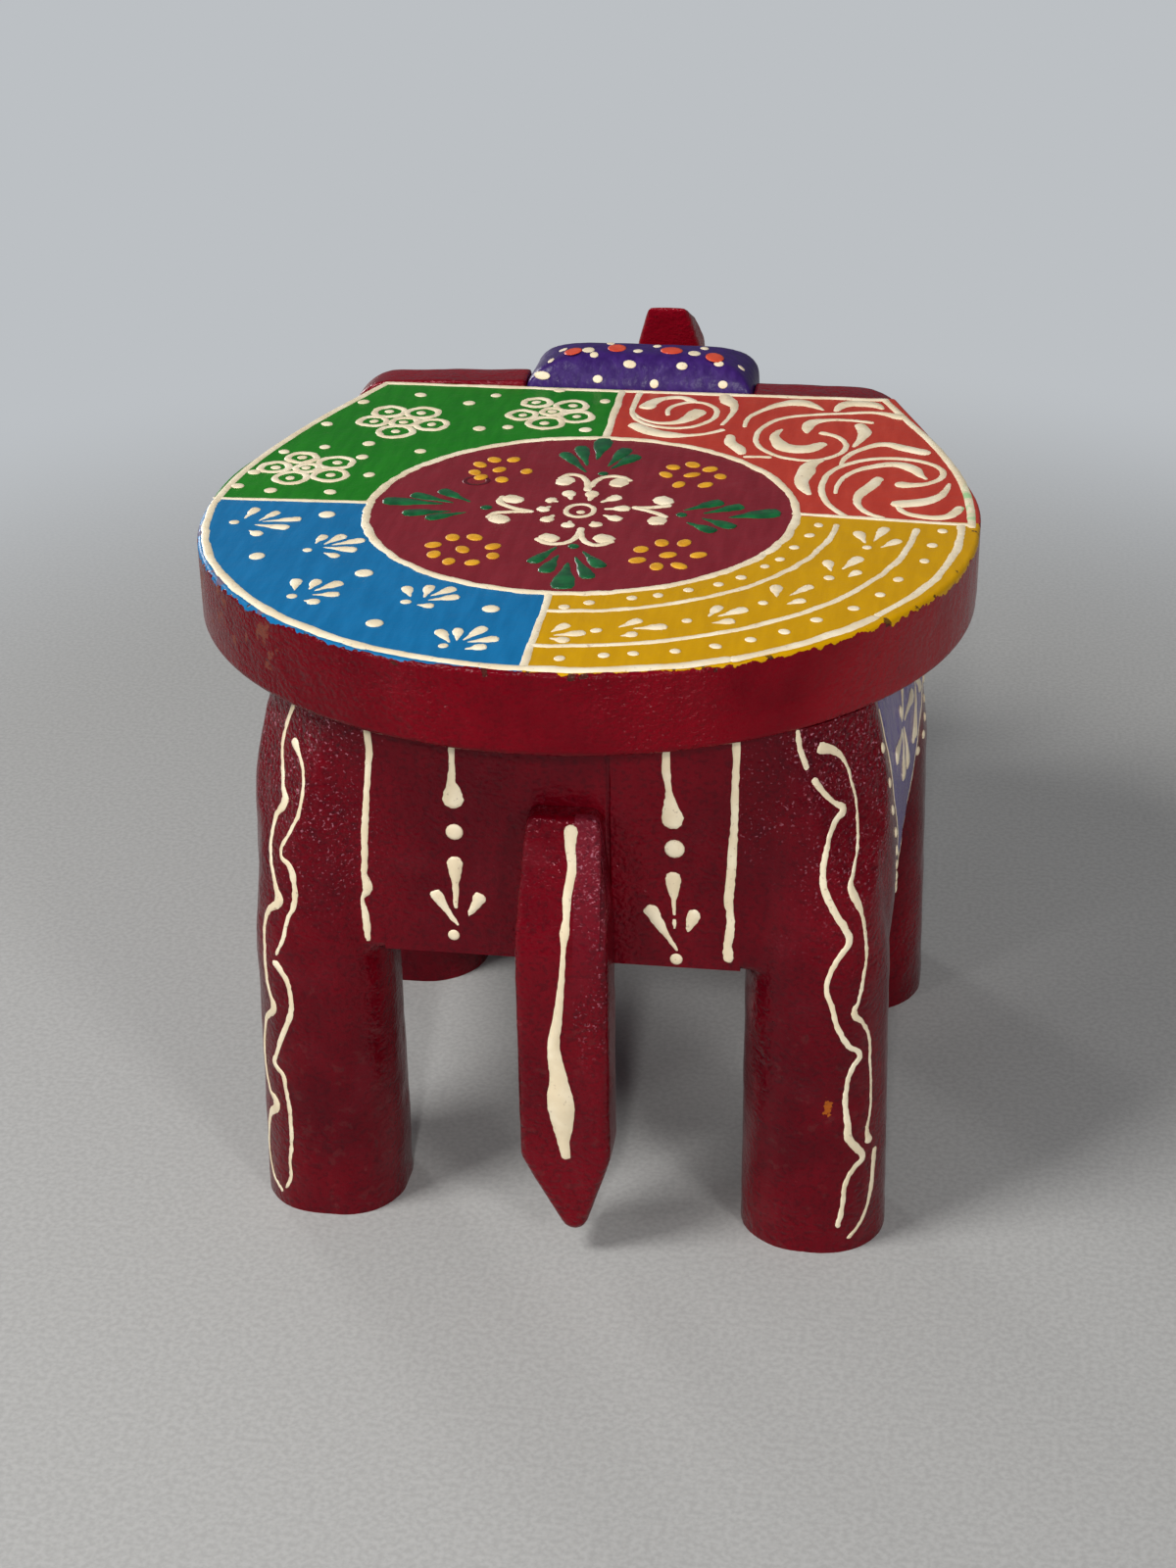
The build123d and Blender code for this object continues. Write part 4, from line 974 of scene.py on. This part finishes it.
def round_cloth(turn, reach):
    """A point on the cloth's edge, or reach millimetres outside it, at a turn about its middle."""
    along = math.copysign(abs(math.cos(turn)) ** CLOTH_BEND, math.cos(turn)) * (SADDLE_HALF_LENGTH + reach)
    down = math.copysign(abs(math.sin(turn)) ** CLOTH_BEND, math.sin(turn)) * (SADDLE_DROP + reach)
    return SADDLE_MIDDLE[0] + along, SADDLE_MIDDLE[1] + down


def on_flank(skin, side, y, z):
    """The place on a flank, y millimetres before the seat's middle and z over the floor, and its facing."""
    ahead = LEFT_CLOTH_AHEAD if side < 0 else 0
    beside = Vector((side * 0.2, SEAT_CENTRE_Y + (y + ahead) * MM, z * MM))
    return skin.ray_cast(beside, Vector((-side, 0, 0)))[:2]


for side, name, plank in ((-1, "left", left_plank), (1, "right", right_plank)):
    skin = skin_of(plank)
    edging, dots = [], []
    for step in range(EDGING_STEPS + 1):
        turn = math.radians(180.4 + step * 179.2 / EDGING_STEPS)
        y, z = round_cloth(turn, 0)
        if z < EDGING_TOP:
            edging.append((on_flank(skin, side, y, z)[0], 1.1 * hand.uniform(0.8, 1.15)))
        place, outward = on_flank(skin, side, *round_cloth(turn, DOTS_OUTSIDE_CLOTH))
        if step % 2 == 0 and place and place.z < DOTS_TOP * MM and (side > 0 or outward.y > -0.05):
            dots.append((place, outward, 2.4, 2.8, 0.9, 0))
    strokes = [edging]
    for (tail_y, tail_z), (head_y, head_z, width) in SADDLE_FLOWER:
        tail_end = on_flank(skin, side, tail_y, tail_z)[0]
        middle = on_flank(skin, side, (tail_y + head_y) / 2, (tail_z + head_z) / 2)[0]
        head_end = on_flank(skin, side, head_y, head_z)[0]
        strokes.append([(tail_end, 0.8), (middle, width * 0.5), (head_end, width)])
    pressed(piped(f"cream_{name}_saddle_edge", strokes), skin)
    scattered(f"cream_{name}_saddle_dots", dots)

# ---- Head ----
# A block rounded to a domed crown and let in for the trunk, dowelled to the body. It is lacquered purple,
# with cream dots and coral petals over the crown, eyes and a forehead ornament in front.
CROWN_DOTS = [
    (-26.5, 105.5, 3, 2.2), (-28.5, 101.2, 5, 2.6), (-15.7, 108.3, 3.8, 3.6), (-13.7, 105.9, 2.6, 2.4),
    (-12, 100.9, 3, 2.4), (-2.9, 103.7, 4, 2.7), (4.7, 100.6, 2.7, 2.7), (12.5, 103.5, 3.4, 2.6),
    (15.6, 108.6, 3.8, 3.8), (24.8, 100.7, 2.9, 2.4), (23.2, 104.6, 3, 2.3), (-1.1, 109.3, 3, 3),
    (29.5, 108, 2.4, 2.6), (-24, 113, 2.6, 2.8), (4, 114, 2.6, 2.6), (18, 114, 2.6, 2.6),
    (-10, 115, 2.6, 2.6), (-17, 121, 2.6, 2.6), (19, 122, 2.6, 2.6), (-27, 124, 2.6, 2.6),
    (28, 125, 2.6, 2.6),
]
CORAL_PETALS = [(-20.3, 108.3), (-7.6, 111), (8.7, 110), (21.7, 107.5)]
DOWN = Vector((0, 0, -1))
EYE_X = 19.5
EYE_HEIGHT = 137.5


def purple_recipe(place):
    streaks = place.noise(500, 3, stretch=(1, 1, 0.25))
    colour = streaks.rise(0.3, 0.75).blend(srgb(47, 22, 86), srgb(58, 30, 101))
    height = streaks * 0.12 + place.noise(300, 2) * 0.3
    return {"Base Color": colour, "Roughness": 0.24 + 0.2 * streaks, "Height": height}


purple_lacquer = finish_of("purple_lacquer", purple_recipe, IOR=1.3)
coral_paste = tinted_paste("coral_paste", srgb(206, 66, 38), srgb(226, 84, 50))
black_paint = tinted_paste("black_paint", srgb(14, 12, 12), srgb(30, 26, 26))
head = copied_from("head_block", "carved_head")
carve(head, 1.0, 22, 0.5)
done(head, purple_lacquer, "purple_lacquer", "head_block")
head_skin = skin_of(head)


def on_crown(x, y):
    """The place on the crown over a place of the seat's plane, and its facing."""
    return head_skin.ray_cast(on_seat(x, y) - DOWN * 0.1, DOWN)[:2]


def front_stroke(skin, points):
    """Knots on the front from (x, height over the floor, width) in millimetres."""
    knots = [(on_front(skin, x, z)[0], width) for x, z, width in full(points)]
    return [knot for knot in knots if knot[0]]


crown_dots = []
for x, y, width, length in CROWN_DOTS:
    crown_dots.append((*on_crown(x, y), width, length, 0.5, hand.uniform(-0.2, 0.2)))
scattered("cream_crown_dots", crown_dots, slot="purple_lacquer")
petals = [(*on_crown(x, y), 7.0, 5.6, 0.45, 0.2) for x, y in CORAL_PETALS]
scattered("coral_crown_petals", petals, coral_paste, "purple_lacquer")
face_lines = []
for side in (-1, 1):
    brow = [(12.5, 139, 0.9), (15, 143.5, 1.4), (19, 145.5, 1.6), (24, 143.5, 1.3), (27, 139, 0.8)]
    face_lines.append(front_stroke(head_skin, [(side * x, z, width) for x, z, width in brow]))
forehead = [(0, 138, 0.8), (-3.5, 142, 1.3), (-5.2, 147, 1.4), (-3.6, 152, 1.3), (0, 157, 0.9)]
forehead += [(3.6, 152, 1.3), (5.2, 147, 1.4), (3.5, 142, 1.3), (0, 138, 0.8)]
face_lines.append(front_stroke(head_skin, forehead))
for x in (-24, -16, -8, 8, 16, 24):
    face_lines.append(front_stroke(head_skin, [(x * 0.9, 151, 0.8), (x, 156, 2.6)]))
pressed(piped("cream_brow_lines", face_lines), head_skin, slot="purple_lacquer", rise=0.3)
whites, pupils = [], []
for x in (-EYE_X, EYE_X):
    place, outward = on_front(head_skin, x, EYE_HEIGHT)
    whites.append((place, outward, 8.6, 5.4, 0.7, 0))
    pupils.append((place + outward * 0.3 * MM, outward, 3.6, 3.8, 0.8, 0))
forehead_dots = []
for x, z in ((0, 147), (-12, 162), (0, 163), (12, 162), (-24, 163), (24, 163), (-29, 150), (29, 150)):
    forehead_dots.append((*on_front(head_skin, x, z), 2.6, 2.8, 0.7, 0))
scattered("cream_eyes", whites, slot="purple_lacquer")
scattered("black_pupils", pupils, black_paint, "purple_lacquer")
scattered("coral_forehead_dots", forehead_dots, coral_paste, "purple_lacquer")

# ---- Ears ----
# Flat fans sawn from thin board, nailed to the front of the body each side of the head. Crimson on the back
# and edges, with a yellow and cream border in front.
EAR_MIDDLE_X, EAR_MIDDLE_Z = 55, 128
EAR_REACH = 45.0
FORWARDS = Vector((0, 1, 0))


def ear_line(skin, side, inset, width, count=30):
    """Knots a set distance inside the ear's edge, found by feeling inwards to it. In millimetres."""
    def from_middle(turn, reach):
        x = side * (EAR_MIDDLE_X + reach * math.cos(turn))
        return on_front(skin, x, EAR_MIDDLE_Z + reach * math.sin(turn))[0]

    knots = []
    for number in range(count + 1):
        turn = math.radians(128 - 256 * number / count)
        reach = EAR_REACH
        while reach > 10 and not from_middle(turn, reach):
            reach -= 0.5
        knots.append((from_middle(turn, reach - inset), width * hand.uniform(0.85, 1.15)))
    return knots


for side, name in ((-1, "left"), (1, "right")):
    ear = copied_from(f"{name}_ear", f"carved_{name}_ear")
    carve(ear, 1.0, 4, 0.5)
    done(ear, crimson_lacquer, "crimson_lacquer", f"{name}_ear")
    skin = skin_of(ear)
    pressed(piped(f"yellow_{name}_ear_edge", [ear_line(skin, side, 2.2, 2.6)]), skin, yellow_paste)
    pressed(piped(f"cream_{name}_ear_edge", [ear_line(skin, side, 5.6, 1.4)]), skin)
    dots = [(place, FORWARDS, 2.4, 2.4, 0.8, 0) for place, _ in ear_line(skin, side, 9.6, 1, count=16)]
    for x, z in ((0, 0), (0, 8), (7.6, 2.5), (4.7, -6.5), (-4.7, -6.5), (-7.6, 2.5)):
        place = on_front(skin, side * 56 + x, 126 + z)[0]
        dots.append((place, FORWARDS, 4.2, 4.2, 0.9, 0))
    scattered(f"cream_{name}_ear_dots", dots)
painted("ear_nails", crimson_lacquer)

# ---- Trunk ----
# Sawn from one board to a curl, rounded, and let into the face on a dowel. The tip rises behind the crown,
# and cream bands with yellow dots between them run up the front.
TRUNK_MIDDLE_X = 3.5
trunk = copied_from("trunk", "carved_trunk")
carve(trunk, 1.0, 20, 0.5)
done(trunk, crimson_lacquer, "crimson_lacquer", "trunk")
trunk_skin = skin_of(trunk)
bands = []
for height in (104, 110, 128, 134, 150, 156):
    band = [(TRUNK_MIDDLE_X + x, height - abs(x) * 0.25, 1.3) for x in (-6.5, -4, 0, 4, 6.5)]
    bands.append(front_stroke(trunk_skin, band))
pressed(piped("cream_trunk_bands", bands), trunk_skin)
trunk_dots = []
for height in (107, 119, 131, 142, 153, 164):
    place, outward = on_front(trunk_skin, TRUNK_MIDDLE_X, height)
    if place:
        trunk_dots.append((place, outward, 2.8, 3.0, 0.8, 0))
scattered("yellow_trunk_dots", trunk_dots, yellow_paste)

# ---- Tusks ----
# Two whittled pegs, glued into bores beside the trunk and painted ivory. Each tapers to a blunt tip and
# droops a little.
for name in ("left", "right"):
    tusk = copied_from(f"{name}_tusk", f"whittled_{name}_tusk")
    carve(tusk, 0.6, 4, 0.3)
    done(tusk, cream_paste, "ivory_paint", f"{name}_tusk")

# ---- Floor, light and view ----
# A plain pale floor under an even grey sky. A large soft lamp stands above the left shoulder, three smaller
# ones behind the stool bring out the gloss, and one lights the face.
PALE_GREY = srgb(188, 192, 196)
FLOOR_FADES = (260, 620)
bpy.ops.object.select_all(action="DESELECT")
bpy.ops.mesh.primitive_plane_add(size=10, location=(0, 0, 0))
floor = bpy.context.object
floor.name = "floor"


def floor_recipe(place):
    specks = place.noise(700, 3)
    colour = specks.rise(0.3, 0.7).blend(srgb(160, 159, 156), srgb(172, 171, 168))
    return {"Base Color": colour, "Roughness": 0.8 + specks * 0.1}


pale_floor = finish_of("pale_floor", floor_recipe)
# Far from the stool the floor shows as an even pale backdrop, which lights nothing.
floor_tree = pale_floor.node_tree
floor_place = Shade(floor_tree).node("TexCoord", out="Object")
away = floor_place.axis("X").length(floor_place.axis("Y")).rise(*FLOOR_FADES)
seen = away.node("LightPath", out="Is Camera Ray")
backdrop = away.node("Emission", {}, {"Color": PALE_GREY})
paint = Shade(floor_tree, floor_tree.nodes["Principled BSDF"].outputs[0])
either = away.node("MixShader", {}, {0: away * seen, 1: paint, 2: backdrop})
floor_tree.links.new(either.socket, floor_tree.nodes["Material Output"].inputs["Surface"])
floor.data.materials.append(pale_floor)

world = bpy.data.worlds.new("studio")
bpy.context.scene.world = world
world.use_nodes = True
sky = world.node_tree
sky_light = sky.nodes["Background"]
sky_light.inputs["Color"].default_value = (0.86, 0.9, 1.0, 1)
sky_light.inputs["Strength"].default_value = 0.17
seen = Shade(sky).node("LightPath", out="Is Camera Ray")
shown = seen.node("Background", {}, {"Color": PALE_GREY})
either = seen.node("MixShader", {}, {0: seen, 1: Shade(sky, sky_light.outputs[0]), 2: shown})
sky.links.new(either.socket, sky.nodes["World Output"].inputs["Surface"])


def lamp(name, place, target, size, power):
    light = bpy.data.lights.new(name, "AREA")
    light.shape = "DISK"
    light.size = size
    light.energy = power
    stand = put(name, light)
    stand.location = place
    stand.rotation_euler = (Vector(target) - Vector(place)).to_track_quat("-Z", "Y").to_euler()


lamp("key", (-0.75, -0.55, 1.25), (0, 0, 0.1), 0.5, 15)
lamp("fill", (0.85, -1.1, 0.7), (0, 0, 0.1), 0.3, 6)
lamp("high", (0.1, -1.3, 0.85), (0, 0, 0.1), 0.1, 6)
lamp("low", (-0.95, -1.05, 0.5), (0, 0, 0.08), 0.2, 3)
lamp("front", (-1.1, 1.25, 0.45), (0, 0, 0.1), 0.4, 7)

VIEW_TARGET = Vector((-0.00106, SEAT_CENTRE_Y, SEAT_TOP - 0.078589))
VIEW_DISTANCE = 0.69258
VIEW_TURN, VIEW_DIP, VIEW_ROLL = math.radians(8.787), math.radians(27.113), math.radians(-0.855)
LENS = 58.5
camera_data = bpy.data.cameras.new("view")
camera_data.lens = LENS
camera_data.sensor_width = 36
camera_data.sensor_fit = "AUTO"
camera = put("view", camera_data)
swung = Matrix.Rotation(VIEW_TURN, 4, "Z") @ Matrix.Rotation(math.pi / 2 - VIEW_DIP, 4, "X")
turned = swung @ Matrix.Rotation(VIEW_ROLL, 4, "Z")
camera.matrix_world = Matrix.Translation(VIEW_TARGET) @ turned @ Matrix.Translation((0, 0, VIEW_DISTANCE))
bpy.context.scene.camera = camera
bpy.context.scene.view_settings.view_transform = "Standard"
